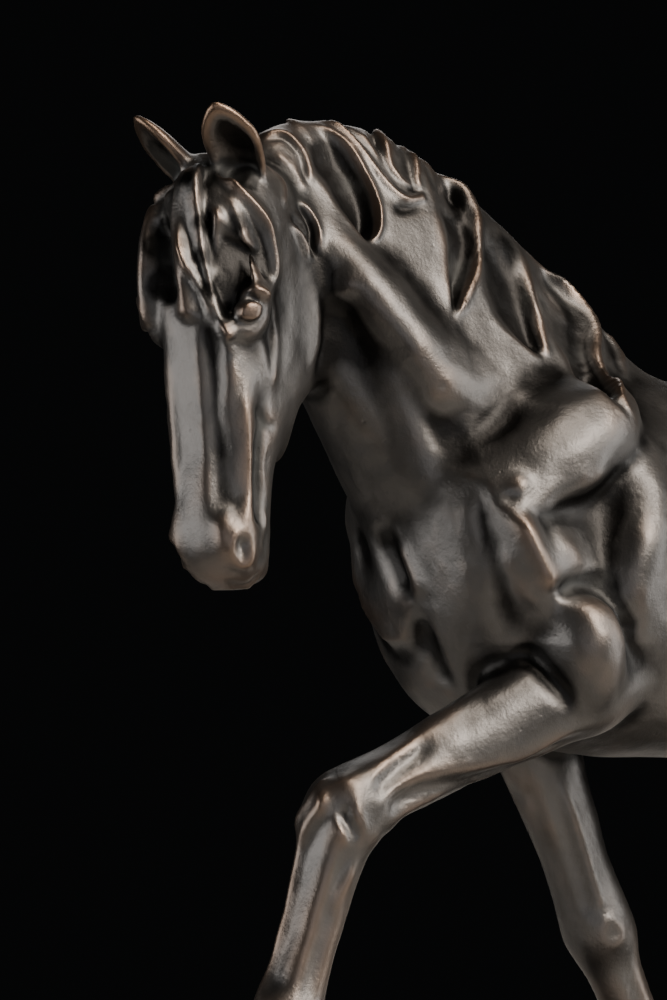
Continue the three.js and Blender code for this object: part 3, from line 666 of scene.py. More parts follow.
def eased(b, profile):
    """Heights across a stroke on a smooth curve through [across, height] rows, level at its turns."""
    across, height = (np.asarray(v, float) for v in zip(*profile))
    step = np.diff(across)
    rise = np.diff(height) / step
    same = rise[:-1] * rise[1:] > 0
    slope = np.zeros(len(across))
    slope[1:-1] = np.where(same, 2 * rise[:-1] * rise[1:] / np.where(same, rise[:-1] + rise[1:], 1), 0)
    fine = np.linspace(across[0], across[-1], 240)
    i = np.clip(np.searchsorted(across, fine, "right") - 1, 0, len(step) - 1)
    u = (fine - across[i]) / step[i]
    curve = (
        height[i] * (1 + 2 * u) * (1 - u) ** 2
        + height[i + 1] * (3 - 2 * u) * u**2
        + step[i] * (slope[i] * u * (1 - u) ** 2 - slope[i + 1] * u**2 * (1 - u))
    )
    return np.interp(b.ravel(), fine, curve).reshape(b.shape).astype(np.float32)


def ease(t):
    """A step from 0 to 1, level at both ends."""
    t = np.clip(t, 0, 1)
    return t * t * (3 - 2 * t)


class Path:
    """Coordinates along, across and out of a path, in a window round it."""

    def __init__(self, clay, points, out, reach):
        self.clay, self.points, self.n = clay, points, len(points)
        self.way = unit(np.gradient(points, axis=0))
        self.side = unit(np.cross(out, self.way))
        self.out = unit(np.cross(self.way, self.side))
        self.part, *self.xyz = clay.window(points.min(0) - reach, points.max(0) + reach, 0)
        shape = np.broadcast_shapes(*(c.shape for c in self.xyz))
        best = np.full(shape, 1e9, np.float32)
        where = np.zeros(shape, np.float32)
        for i in range(self.n - 1):
            run = points[i + 1] - points[i]
            length = max(np.linalg.norm(run), 1e-6)
            run = run / length
            rel = [c - o for c, o in zip(self.xyz, points[i])]
            s = np.clip(sum(r * np.float32(e) for r, e in zip(rel, run)), 0, length)
            far = sum((r - s * np.float32(e)) ** 2 for r, e in zip(rel, run))
            near = far < best
            best = np.where(near, far, best)
            where = np.where(near, i + s / length, where)
        self.where, self.t = where, where / (self.n - 1)
        rel = [p - self.pick(points[:, k]) for k, p in enumerate(self.xyz)]
        self.b = sum(r * self.pick(self.side[:, k]) for k, r in enumerate(rel))
        self.o = sum(r * self.pick(self.out[:, k]) for k, r in enumerate(rel))
        self.a = sum(r * self.pick(self.way[:, k]) for k, r in enumerate(rel))

    def pick(self, values):
        """Values given at the path's points, taken at each cell's nearest place on it."""
        flat = np.interp(self.where.ravel(), np.arange(self.n), values)
        return flat.reshape(self.where.shape).astype(np.float32)

    def raise_by(self, height, fade=0.7):
        """The skin is lifted by a height, only near it and between the path's ends."""
        near = 1 - ease((np.abs(self.o) - 5) / 4)
        ends = 1 - ease(np.abs(self.a) / fade)
        self.clay.field[self.part] -= (height * near * ends).astype(np.float32)


def stroke(clay, points, out, profile, ends):
    """The skin raised by a profile across a path, which fades in and out at the path's ends."""
    reach = max(abs(profile[0][0]), abs(profile[-1][0])) + 5
    path = Path(clay, points, out, reach)
    taper = ease(path.t / max(ends[0], 1e-3)) * ease((1 - path.t) / max(ends[1], 1e-3))
    path.raise_by(eased(path.b, profile) * taper)


def mirrored_points(clay, points, out):
    """The path on the horse's other side, settled on that side's own skin."""
    points, out = clay.on_skin(points * [1, -1, 1], 8)
    for _ in range(3):
        points, out = clay.on_skin(settle_path(points, out, 6)[0], 4)
    return settle_path(points, out, 6)


def dab(clay, point, out, radius, height, stretch=None):
    """A round dent or knob, stretched along a direction if one is given."""
    part, x, y, z = clay.window(point - radius * 2.2, point + radius * 2.2, 0)
    rel = [c - o for c, o in zip((x, y, z), point)]
    o = sum(r * np.float32(e) for r, e in zip(rel, out))
    far = sum((r - o * np.float32(e)) ** 2 for r, e in zip(rel, out))
    if stretch is not None:
        way, more = stretch
        s = sum(r * np.float32(e) for r, e in zip(rel, way))
        far = far - s * s * (1 - 1 / more**2)
    far = np.clip(far / radius**2, 0, 1)
    clay.field[part] -= (height * (1 - far) ** 2 * (1 - ease((np.abs(o) - 4) / 3))).astype(np.float32)


def scoop_edges(edges, rounds):
    """A scoop's two edges on the skin, smoothed along their length, and the ways out between them."""
    (left, left_out), (right, right_out) = edges
    for values in (left, right, left_out, right_out):
        smooth_along(values, rounds)
    return left, right, unit(left_out + right_out)


def scoop(clay, edges, depth, lift, lip):
    """A leaf of hair between two edges: hollowed toward its right edge, which stands up as a rim."""
    left, right, out = edges
    half = np.maximum(np.linalg.norm(right - left, axis=1) / 2, 0.4)
    path = Path(clay, (left + right) / 2, out, half.max() + 6)
    if ((right - left) * path.side).sum() < 0:
        path.b = -path.b
    w = path.pick(half)
    s = (path.b + w) / (2 * w)
    deep = [(-0.3, 0), (0.0, -0.05), (0.3, -0.6), (0.72, -1), (0.92, -0.55), (1, 0), (1.3, 0)]
    high = [(0.5, 0), (0.8, 0.08), (0.93, 0.6), (1, 1), (1.2, 1)]
    thick = np.clip(w / 2.4, 0, 1)
    beyond = np.clip((path.b - w) / 2.2, 0, 1)
    start, end = ease((path.t - 0.08) / 0.3), ease((1 - path.t) / 0.1)
    bowl = depth * eased(s, deep) * thick * start
    rim = lift * eased(s, high) * (1 - ease(beyond)) * (0.35 + 0.65 * thick) * start
    left_lip = lip * np.exp(-(((path.b + w) / 1.3) ** 2)) * start
    path.raise_by((bowl + rim + left_lip) * end)


def carve_all(clay, table, mirror):
    """Every path is traced on the skin as it was before the first is carved."""
    ready = []
    for path, profile, ends, both in table:
        points, out = traced(clay, path, 5.0)
        ready.append((points, out, profile, ends))
        if both:
            other = mirror(clay, points, out)
            ready.append((*other, [(-b, h * both) for b, h in reversed(profile)], ends))
    for points, out, profile, ends in ready:
        stroke(clay, points, out, profile, ends)


def stacked(table, steps, along, above, across):
    """Distance from superellipses stacked along one way, whose width tapers from bottom to top.

    The rows are [place, top, bottom, half width, taper, squareness].
    """
    rows = between(table, np.linspace(0, len(table) - 1, steps))
    rows = rows[np.argsort(rows[:, 0])]
    top, bottom, width, taper, square = (
        np.interp(along.ravel(), rows[:, 0], rows[:, k]).reshape(along.shape).astype(np.float32) for k in range(1, 6)
    )
    half, middle = (top - bottom) / 2, (top + bottom) / 2
    u = above - middle
    w = width * (1 + taper * np.clip(u / half, -TAPER_END, TAPER_END))
    d = superellipse(u, half, across, w, square)
    return np.maximum(d, np.maximum(table[0][0] - along, along - table[-1][0]))


def shape_trunk(clay):
    """Sections stand across x, each a superellipse whose width tapers upward."""
    part, x, y, z = clay.window([-99, -40, 120], [99, 40, 212])
    clay.add(part, stacked(TRUNK, 500, x, z, y), 0.01)


def neck_bend(x):
    """How far the neck leans to the left: a power of the distance ahead of the withers."""
    return -12 * np.maximum(0, (-35 - np.asarray(x, float)) / 105) ** 1.6


def shape_neck(clay):
    """Sections hang from the crest to the throat and lean over with the neck's bend."""
    t = np.linspace(0, len(NECK) - 1, 240)
    rows = between(NECK, t)
    part, x, y, z = clay.window([-150, -42, 130], [-24, 32, 262])
    xs, zs = x[:, 0, 0].astype(float), z[0, 0].astype(float)
    crest, throat = rows[:, 0:2], rows[:, 2:4]
    down = throat - crest
    length = np.linalg.norm(down, axis=1)
    grid = np.stack(np.meshgrid(xs, zs, indexing="ij"), -1).reshape(-1, 2)
    rel = grid[None] - crest[:, None]
    side = (down[:, None, 0] * rel[..., 1] - down[:, None, 1] * rel[..., 0]) / length[:, None]
    place = (rel * down[:, None]).sum(-1) / length[:, None] ** 2
    crossing = side[:-1] * side[1:] <= 0
    share = side[:-1] / np.where(crossing, side[:-1] - side[1:], 1)
    s = place[:-1] + (place[1:] - place[:-1]) * share
    score = np.where(crossing, np.abs(s - 0.5), 1e3)
    best = score.argmin(0)
    cells = np.arange(len(grid))
    found = score[best, cells] < 50
    start = np.abs(side[0]) < np.abs(side[-1])
    where = np.where(found, best + share[best, cells], np.where(start, 0, len(t) - 1.0))
    beyond = np.where(found, -30.0, np.where(start, np.abs(side[0]), np.abs(side[-1])))
    shape = (len(xs), len(zs))
    section = np.stack([np.interp(where, np.arange(len(t)), rows[:, k]) for k in range(6)], -1)
    centre = (section[:, 0:2] + section[:, 2:4]) / 2
    along = section[:, 0:2] - section[:, 2:4]
    full = np.linalg.norm(along, axis=1)
    u_mm = ((grid - centre) * along).sum(-1) / full
    bend0, bend1 = neck_bend(section[:, 0]), neck_bend(section[:, 2])
    lean = (neck_bend(section[:, 0] - 1) - neck_bend(section[:, 0] + 1)) / 2
    table = np.stack([u_mm, full / 2, section[:, 4], section[:, 5], bend0, bend1, lean, beyond], -1)
    table = table.reshape(*shape, -1).astype(np.float32)
    yc = (table[..., 4] + table[..., 5]) / 2
    v0 = y - yc[:, None, :]
    moved = x - table[..., 6][:, None, :] * v0
    index = np.interp(moved.ravel(), xs, np.arange(len(xs))).reshape(moved.shape)
    low = np.clip(index.astype(np.int32), 0, len(xs) - 2)
    f = (index - low).astype(np.float32)
    k = np.broadcast_to(np.arange(len(zs))[None, None, :], low.shape)
    u_mm, half, width, taper, bend0, bend1, lean, beyond = (
        table[low, k, c] * (1 - f) + table[low + 1, k, c] * f for c in range(8)
    )
    s = np.clip(u_mm / half, -TAPER_END, TAPER_END)
    v = (y - (bend0 + bend1) / 2 - s * (bend0 - bend1) / 2) * np.sqrt(1 + lean**2)
    w = width * (1 + taper * s)
    d = np.maximum(superellipse(u_mm, half, v, w, NECK_SQUARE), beyond)
    clay.add(part, d, 5)


def sweep(clay, rows, blend, square=2.2, caps=(True, True), margin=Clay.MARGIN):
    """A body along a path of [x, y, z, half depth, half width] whose sections hold y."""
    t = np.linspace(0, len(rows) - 1, (len(rows) - 1) * 10 + 1)
    fine = between(rows, t)
    reach = fine[:, 3].max() + 2
    part, x, y, z = clay.window(
        [fine[:, 0].min() - reach, (fine[:, 1] - fine[:, 4]).min(), fine[:, 2].min() - reach],
        [fine[:, 0].max() + reach, (fine[:, 1] + fine[:, 4]).max(), fine[:, 2].max() + reach],
        margin,
    )
    xs, zs = x[:, 0, 0], z[0, 0]
    grid = np.stack(np.meshgrid(xs, zs, indexing="ij"), -1).reshape(-1, 2)
    a, b = fine[:-1, [0, 2]], fine[1:, [0, 2]]
    run = b - a
    best = np.full(len(grid), 1e9)
    where = np.zeros(len(grid))
    offset = np.zeros(len(grid))
    beyond = np.full(len(grid), -30.0)
    for i in range(len(a)):
        length = np.linalg.norm(run[i])
        if length < 1e-6:
            continue
        way = run[i] / length
        rel = grid - a[i]
        free = rel @ way
        s = np.clip(free, 0, length)
        gap = rel - s[:, None] * way
        far = (gap**2).sum(-1)
        near = far < best
        best[near] = far[near]
        where[near] = i + s[near] / length
        offset[near] = rel[near, 0] * way[1] - rel[near, 1] * way[0]
        out = np.full(len(grid), -30.0)
        if i == 0 and caps[0]:
            out = -free
        if i == len(a) - 1 and caps[1]:
            out = np.maximum(out, free - length)
        beyond[near] = out[near]
    shape = (len(xs), 1, len(zs))
    cy, depth, width = (
        np.interp(where, np.arange(len(fine)), fine[:, k]).reshape(shape).astype(np.float32) for k in (1, 3, 4)
    )
    offset, beyond = (v.reshape(shape).astype(np.float32) for v in (offset, beyond))
    d = np.maximum(superellipse(offset, depth, y - cy, width, square), beyond)
    clay.add(part, d, blend)
    return fine


def leg_rows(sections, joints):
    """A leg's sections as rows for a sweep, placed by shares of the way between its joints."""
    points = np.array(joints + [[joints[5][0], joints[5][1], joints[5][2] - 0.35]], float)
    return np.array(
        [[*(points[k] + (points[k + 1] - points[k]) * share), depth, width] for k, share, depth, width in sections]
    )


def leaning(slope):
    """A muscle's long, short and sideways ways, the long one turned up from level by its slope."""
    a = math.radians(slope)
    return [[math.cos(a), 0, math.sin(a)], [-math.sin(a), 0, math.cos(a)], [0, 1, 0]]


def muscle_pair(clay, muscle, blend):
    """An ellipsoid on each side of the bent middle, the hidden right one more softly blended."""
    x, y, z, slope, *radii = muscle
    for side, soft in ((-1, 1), (1, RIGHT_SOFTNESS)):
        place = [x, side * y + float(neck_bend(x)), z]
        clay.ellipsoid(place, leaning(slope), radii, blend * soft, margin=blend * soft)


# The head's own directions: the way the face looks, its left, and down from poll to lips.
LOOKS = np.array([-math.cos(HEAD_YAW), -math.sin(HEAD_YAW), 0.0])
FACE_LEFT = unit(np.cross(UP, LOOKS))
HEAD_FRONT = unit(LOOKS * math.cos(HEAD_TUCK) - UP * math.sin(HEAD_TUCK))
FACE_DOWN = unit(np.cross(FACE_LEFT, HEAD_FRONT))
HEAD_DOWN = FACE_DOWN * math.cos(HEAD_ROLL) + FACE_LEFT * math.sin(HEAD_ROLL)
HEAD_LEFT = FACE_LEFT * math.cos(HEAD_ROLL) - FACE_DOWN * math.sin(HEAD_ROLL)


def on_head(down, front, left):
    """Points given by distances down, ahead and left of the poll."""
    down, front, left = (np.asarray(v, float)[..., None] * HEAD_SCALE for v in (down, front, left))
    return np.asarray(HEAD_AT) + HEAD_DOWN * down + HEAD_FRONT * front + HEAD_LEFT * left


def head_window(clay, low, high, margin=Clay.MARGIN):
    """A window round a box given in the head's directions, with those coordinates in it."""
    corners = np.array([on_head(*corner) for corner in product(*zip(low, high))])
    part, x, y, z = clay.window(corners.min(0), corners.max(0), margin)
    rel = [c - o for c, o in zip((x, y, z), HEAD_AT)]
    return part, [
        (rel[0] * np.float32(e[0]) + rel[1] * np.float32(e[1]) + rel[2] * np.float32(e[2])) / np.float32(HEAD_SCALE)
        for e in (HEAD_DOWN, HEAD_FRONT, HEAD_LEFT)
    ]


def head_mass(clay, mass, blend, sides=(1, -1)):
    """An ellipsoid on each side of the face, or one alone where it lies in the middle."""
    down, front, left, r1, r2, r3, lean = mass
    for side in (1,) if left == 0 else sides:
        tilt = math.radians(lean) * side
        e1 = HEAD_DOWN * math.cos(tilt) + HEAD_LEFT * math.sin(tilt)
        e3 = HEAD_LEFT * math.cos(tilt) - HEAD_DOWN * math.sin(tilt)
        radii = np.array([r1, r2, r3]) * HEAD_SCALE
        clay.ellipsoid(on_head(down, front, side * left), [e1, HEAD_FRONT, e3], radii, blend)


def shape_skull(clay):
    """Sections stacked down the face, each a superellipse from its back to its front."""
    part, (down, front, left) = head_window(clay, (-3, -46, -13), (84, 2, 13))
    clay.add(part, stacked(HEAD, 400, down, front, left) * HEAD_SCALE, 4)


def ear_frame(side):
    """The ear's root, its length, and its ways along, across and out of its opening."""
    root, tip = (on_head(d, f, l * side) for d, f, l in (EAR_ROOT, EAR_TIP))
    axis = unit(tip - root)
    wanted = HEAD_FRONT + HEAD_LEFT * 0.5 * side + HEAD_DOWN * 0.4
    broad = unit(np.cross(axis, wanted))
    opening = unit(np.cross(broad, axis))
    return root, np.linalg.norm(tip - root), axis, broad, opening if opening @ wanted > 0 else -opening


def ear_shells(side, x, y, z):
    """The ear's leaf and the hollow in it: ellipses whose half sizes follow the rows of the ear."""
    root, length, *ways = ear_frame(side)
    rel = [c - o for c, o in zip((x, y, z), root)]
    a, b, o = (sum(r * np.float32(e) for r, e in zip(rel, way)) for way in ways)
    rows = between(EAR_ROWS, np.linspace(0, len(EAR_ROWS) - 1, 200))
    half_b, half_d = (np.interp((a / length).ravel(), rows[:, 0], rows[:, k]).reshape(a.shape) for k in (1, 2))

    def shell(inset, shift):
        wide, thick = (np.maximum(0.3, v) * HEAD_SCALE for v in (half_b - inset, half_d - inset * 0.6))
        return superellipse(b, wide, o - shift * HEAD_SCALE, thick, 2)

    outer = np.maximum(shell(0, 0), np.maximum(a - length, -0.1 * length - a))
    outer = np.maximum(outer, o - 0.25 * half_d * HEAD_SCALE)
    inner = shell(EAR_WALL, EAR_SHIFT)
    return outer, np.maximum(inner, 0.12 * length - a), np.maximum(inner, 0.2 * length - a)


def shape_ear(clay, side):
    """The leaf joined on with its hollow taken out, then the hollow cut again where the skull fills it."""
    root, length, axis, *_ = ear_frame(side)
    tip = root + axis * length
    part, x, y, z = clay.window(np.minimum(root, tip) - 9, np.maximum(root, tip) + 9, 2)
    outer, inner, hollow = ear_shells(side, x, y, z)
    clay.add(part, -smooth_min(-outer, inner, 0.8), 1.4)
    clay.carve(part, hollow, 0.6)


def head_mirrored(clay, points, out):
    """The same points and ways on the other side of the face."""
    left = ((points - HEAD_AT) @ HEAD_LEFT)[:, None]
    turned = out - 2 * (out @ HEAD_LEFT)[:, None] * HEAD_LEFT
    return clay.on_skin(points - 2 * left * HEAD_LEFT, 5)[0], turned


def shape_eye(clay, point, way):
    """A ball in a socket, with an arched lid over it and a flatter one under it."""
    ahead = unit(np.cross(HEAD_DOWN, way))
    down = unit(np.cross(way, ahead))
    dab(clay, point, way, 4.4, -1.6)
    clay.ellipsoid(point - way * 2.2, [down, way, ahead], [2.3, 2.8, 2.8], 0.25, margin=3)
    for sign, bow, high, profile in (
        (-1, 2.5, 0.9, [(-1.2, 0), (-0.4, 0.5), (0, 0.7), (0.4, 0.4), (1.1, 0)]),
        (1, 1.8, 0.55, ridge(1.0, 0.5)),
    ):
        t = np.linspace(-1, 1, 16)[:, None]
        path = point + ahead * t * 3.0 + down * sign * bow * (1 - t**2) + way * high * (1 - t**2)
        path, out = clay.on_skin(path, 5)
        stroke(clay, *settle_path(path, out), profile, (0.12, 0.12))


def shape_head(clay):
    """Skull and masses, then the strokes and dabs, whose places are all found before the first is carved."""
    shape_skull(clay)
    for mass in HEAD_MASSES:
        head_mass(clay, mass, 1.8)
    for mass in ONE_SIDED_MASSES:
        head_mass(clay, mass, 2.6, sides=(1,))
    dabs = [(sighted(clay, [place]), *rest) for place, *rest in HEAD_DABS]
    eyes = sighted(clay, [EYE])
    carve_all(clay, HEAD_STROKES, head_mirrored)
    for spot, radius, height, longer, both in dabs:
        for point, way in (spot, head_mirrored(clay, *spot)) if both else (spot,):
            dab(clay, point[0], way[0], radius, height, (HEAD_DOWN, longer))
    for point, way in (eyes, head_mirrored(clay, *eyes)):
        shape_eye(clay, point[0], way[0])
    for side in (1, -1):
        shape_ear(clay, side)


def leaf(clay, points, out, width, rise):
    """A scooped leaf of hair: sharp raised rims, a sunken middle and a pointed tip."""
    breadth = between([[b] for b in LEAF], np.linspace(0, 1, len(points)) * (len(LEAF) - 1))[:, 0]
    path = Path(clay, points, out, width + rise + 1)
    w, h = path.pick(np.maximum(width * breadth, 0.25)), path.pick(rise * (0.35 + 0.65 * breadth))
    b = np.abs(path.b)
    top = h * (0.25 + 0.75 * np.clip(b / w / 0.86, 0, 1) ** 2.2)
    across = np.maximum((b - w) * 0.9, (path.o - top) * 0.8)
    ends = np.maximum(-(path.o + STRAND_ROOT), np.abs(path.a) - 0.8)
    clay.add(path.part, np.maximum(across, ends), 0.4)


def on_neck(u, v, side):
    """Points of the neck's skin, from the place along it and the share of the way down."""
    row = between(NECK, u)
    crest = np.stack([row[:, 0], neck_bend(row[:, 0]), row[:, 1]], -1)
    throat = np.stack([row[:, 2], neck_bend(row[:, 2]), row[:, 3]], -1)
    lean = (neck_bend(row[:, 0] - 1) - neck_bend(row[:, 0] + 1)) / 2
    across = unit(np.stack([lean, np.ones_like(lean), np.zeros_like(lean)], -1))
    angle = (1 - v / 2 if side > 0 else v / 2) * 2 * math.pi
    s = signed_power(np.cos(angle), 2 / NECK_SQUARE)
    w = signed_power(np.sin(angle), 2 / NECK_SQUARE) * row[:, 4] * (1 + row[:, 5] * s)
    return (crest + throat) / 2 + (crest - throat) / 2 * s[:, None] + across * w[:, None]


def shape_mane(clay):
    """A low ridge along the crest, the scooped locks over it, their fine strokes and the far side."""
    u = np.linspace(0.6, 9.8, 50)
    crest = on_neck(u, np.full(50, 0.001), 1)
    stroke(clay, crest, unit(clay.slope(crest)), [(-10, 0), (-5.5, 1.3), (0, 2.0), (5.5, 1.3), (10, 0)], (0.15, 0.1))
    ready = []
    for left, right, *rest in SCOOPS:
        edges = [sighted(clay, between(edge, np.linspace(0, len(edge) - 1, 40))) for edge in (left, right)]
        ready.append((scoop_edges(edges, 10), rest))
    for edges, rest in ready:
        scoop(clay, edges, *rest)
    carve_all(clay, [[*row, 0] for row in MANE_STROKES], mirrored_points)
    shape_far_mane(clay)


def shape_far_mane(clay):
    """The shorter locks on the hidden side, laid back along the crest one after another."""
    ready = []
    steps = np.linspace(0, 3, 40)
    for k in range(6):
        u = 9.0 - 1.35 * k
        left = between([[u, 0.06], [u - 0.35, 0.12], [u - 0.9, 0.19], [u - 1.7, 0.25]], steps)
        right = between([[u - 0.85, 0.06], [u - 0.95, 0.09], [u - 1.3, 0.15], [u - 1.75, 0.25]], steps)
        edges = [clay.on_skin(on_neck(*edge.T, -1)) for edge in (left, right)]
        ready.append(scoop_edges(edges, 8))
    for edges in ready:
        scoop(clay, edges, 2.0, 1.7, 0.3)


def shape_body_relief(clay):
    """Strokes on both sides of neck and body, and single dabs on the left."""
    carve_all(clay, BODY_STROKES, mirrored_points)
    for place, radius, height in BODY_DABS:
        points, out = sighted(clay, [place])
        dab(clay, points[0], out[0], radius, height)


def shape_forelock(clay):
    """Leaves laid down the forehead, on a front that curves back to its sides and to the poll."""
    for path, width, rise in FORELOCK:
        down, left = between(path, np.linspace(0, len(path) - 1, 24)).T
        front = -0.6 - left**2 * 0.03 - np.maximum(0, 6 - down) ** 2 * 0.12
        points = on_head(down, front, left)
        leaf(clay, points, np.broadcast_to(HEAD_FRONT, points.shape), width, rise)


def shape_legs(clay):
    """Four swept legs, then the relief of each lower leg and the strokes of the forelegs."""
    for sections, joints in LEGS.values():
        sweep(clay, leg_rows(sections, joints), 3)
    for sections, joints in LEGS.values():
        shape_lower_leg(clay, sections, np.array(joints, float))
    carve_all(clay, LEG_STROKES, mirrored_points)


def shape_lower_leg(clay, sections, joints):
    """Tendons on both sides of the cannon bone, the knee's or hock's bones, fetlock and coronet."""
    hind = sections is HIND
    way = unit(joints[3] - joints[2])
    ahead = np.array([way[2], 0.0, -way[0]])
    if ahead[0] > 0:
        ahead = -ahead
    side = np.array([0.0, 1.0, 0.0])
    t = np.linspace(0.12, 0.94, 14)[:, None]
    bone = joints[2] + (joints[3] - joints[2]) * t
    for sign in (1, -1):
        points, out = clay.on_skin(bone + side * sign * 8 - ahead * 0.6, 8)
        stroke(clay, *settle_path(points, out), [(-4, 0), (-2.5, 0.15), (0, -0.55), (2.5, 0.15), (4, 0)], (0.25, 0.25))
    # knee or hock
    if hind:
        point = joints[2] - ahead * 7 + np.array([0, 0, 3.0])
        clay.ellipsoid(point, [way, ahead, side], [8, 3.6, 3.2], 2.5)
    for sign in (1, -1):
        clay.ellipsoid(joints[2] + side * sign * 3.2 + ahead * 1.5, [way, ahead, side], [6.2, 5.0, 3.6], 2.2)
    # the ball of the fetlock
    clay.ellipsoid(joints[3] - ahead * 2.6, [way, ahead, side], [4.6, 4.6, 5.2], 2.2)
    # coronet: a low band all round over the hoof
    turn = np.linspace(0, 2 * math.pi, 26)[:, None]
    centre = joints[4] + (joints[5] - joints[4]) * 0.12
    ring = centre + (np.array([1.0, 0, 0]) * np.cos(turn) + side * np.sin(turn)) * 7
    ring = ring - np.array([0, 0, 1.0]) * ((ring[:, :1] - centre[0]) * -0.22)
    points, out = clay.on_skin(ring, 6)
    stroke(clay, points, out, [(-2.6, 0), (-1.3, -0.25), (0, 0.55), (1.3, -0.25), (2.6, 0)], (0.001, 0.001))


def tail_frame(share):
    """Middle, front and side of the tail at shares of its length, and its half sizes."""
    row = between(TAIL, share * (len(TAIL) - 1))
    ahead = between(TAIL, np.minimum(share + 0.01, 1) * (len(TAIL) - 1))[:, :3]
    back = between(TAIL, np.maximum(share - 0.01, 0) * (len(TAIL) - 1))[:, :3]
    way = unit(ahead - back)
    side = np.broadcast_to(np.array([0.0, 1.0, 0.0]), way.shape)
    front = unit(np.cross(side, way))
    return row[:, :3], front, unit(np.cross(way, front)), row[:, 3], row[:, 4]


def shape_tail(clay):
    """Strands wound round the tail, deeper between the locks than within them."""
    sweep(clay, TAIL, 2, square=2)
    ready = []
    for k in range(9):
        start, end = 0.10 + 0.05 * (k % 3), 0.97 - 0.04 * ((k * 2) % 3)
        share = np.linspace(start, end, 30)
        middle, front, side, depth, width = tail_frame(share)
        angle = np.radians(k * 40 + TAIL_TWIST * share + 14 * np.sin(share * 9 + k))[:, None]
        outward = front * np.cos(angle) * depth[:, None] + side * np.sin(angle) * width[:, None]
        points, out = clay.on_skin(middle + outward, 6)
        deep = (1.9, 0.9, 1.3)[k % 3]
        ready.append((*settle_path(points, out, 4), deep))
    for points, out, deep in ready:
        stroke(clay, points, out, [(-2.8, 0.5), (-0.6, -deep), (0.4, -0.8 * deep), (2.0, 0.8), (4.0, 0)], (0.15, 0.12))


def shape_figure(clay):
    """The masses from large to small, each carved before the next is laid over it."""
    shape_trunk(clay)
    for muscle in MUSCLES:
        muscle_pair(clay, muscle, 7)
    for *place, slope, r1, r2, r3 in SINGLE_MUSCLES:
        clay.ellipsoid(place, leaning(slope), [r1, r2, r3], 12, margin=12)
    shape_neck(clay)
    for muscle in NECK_MUSCLES:
        muscle_pair(clay, muscle, 5)
    shape_body_relief(clay)
    shape_mane(clay)
    shape_legs(clay)
    shape_tail(clay)
    shape_head(clay)
    carve_all(clay, [[*row, 0] for row in NAPE_STROKES], head_mirrored)
    shape_forelock(clay)
    for spacing, height, seed in WAX:
        rough_skin(clay, spacing, height, seed)


def rough_skin(clay, spacing, height, seed):
    """Soft random swellings, as a hand leaves them in wax: a lattice of numbers, blended smoothly."""
    weights = []
    for axis in clay.axes:
        places = (axis - axis[0]) / spacing
        knots = np.arange(int(places[-1]) + 3) - 1
        w = np.exp(-(((places[:, None] - knots) / 0.62) ** 2))
        weights.append((w / np.sqrt((w**2).sum(1, keepdims=True))).astype(np.float32))
    lattice = np.random.default_rng(seed).normal(size=[w.shape[1] for w in weights]).astype(np.float32)
    for w in weights:
        lattice = np.moveaxis(np.tensordot(w, lattice, axes=(1, 0)), 0, -1)
    clay.field -= lattice * np.float32(height)


def graded(stops):
    """Grid lines along one axis from [start, spacing] stops and an end."""
    lines = []
    for (start, spacing), (end, _) in zip(stops, stops[1:]):
        count = max(1, round((end - start) / spacing))
        lines.append(np.linspace(start, end, count, endpoint=False))
    return np.concatenate([*lines, [stops[-1][0]]])


def net(clay):
    """The field's skin as quads: one corner in each cell that the skin crosses."""
    f = clay.field
    inside = f < 0
    count = np.zeros([n - 1 for n in f.shape], np.uint8)
    for c in np.ndindex(2, 2, 2):
        count += inside[tuple(slice(k, k + n - 1) for k, n in zip(c, f.shape))]
    cells = np.argwhere((count > 0) & (count < 8))
    ids = np.full(count.shape, -1, np.int32)
    ids[tuple(cells.T)] = np.arange(len(cells))
    corner = {c: f[tuple((cells + c).T)] for c in np.ndindex(2, 2, 2)}
    total = np.zeros((len(cells), 3))
    number = np.zeros(len(cells))
    for c in np.ndindex(2, 2, 2):
        for axis in range(3):
            if c[axis]:
                continue
            other = tuple(1 if k == axis else v for k, v in enumerate(c))
            a, b = corner[c], corner[other]
            cross = (a < 0) != (b < 0)
            share = np.where(cross, a / np.where(cross, a - b, 1), 0)
            spot = np.broadcast_to(np.array(c, float), (len(cells), 3)).copy()
            spot[:, axis] = share
            total += np.where(cross[:, None], spot, 0)
            number += cross
    index = cells + total / number[:, None]
    points = np.stack([np.interp(index[:, k], np.arange(len(a)), a) for k, a in enumerate(clay.axes)], -1)
    quads = []
    for axis in range(3):
        one, two = [k for k in range(3) if k != axis]
        low = [slice(None)] * 3
        high = [slice(None)] * 3
        low[axis], high[axis] = slice(0, -1), slice(1, None)
        a, b = inside[tuple(low)], inside[tuple(high)]
        edges = np.argwhere(a != b)
        edges = edges[(edges[:, one] > 0) & (edges[:, two] > 0)]
        edges = edges[(edges[:, one] < f.shape[one] - 1) & (edges[:, two] < f.shape[two] - 1)]
        leaving = a[tuple(edges.T)]
        e1, e2 = np.eye(3, dtype=int)[one], np.eye(3, dtype=int)[two]
        round_edge = ((1, 1), (0, 1), (0, 0), (1, 0))
        ring = np.stack([ids[tuple((edges - s * e1 - t * e2).T)] for s, t in round_edge], -1)
        flip = leaving if axis != 1 else ~leaving
        quads.append(np.where(flip[:, None], ring, ring[:, ::-1]))
    return points, np.concatenate(quads)


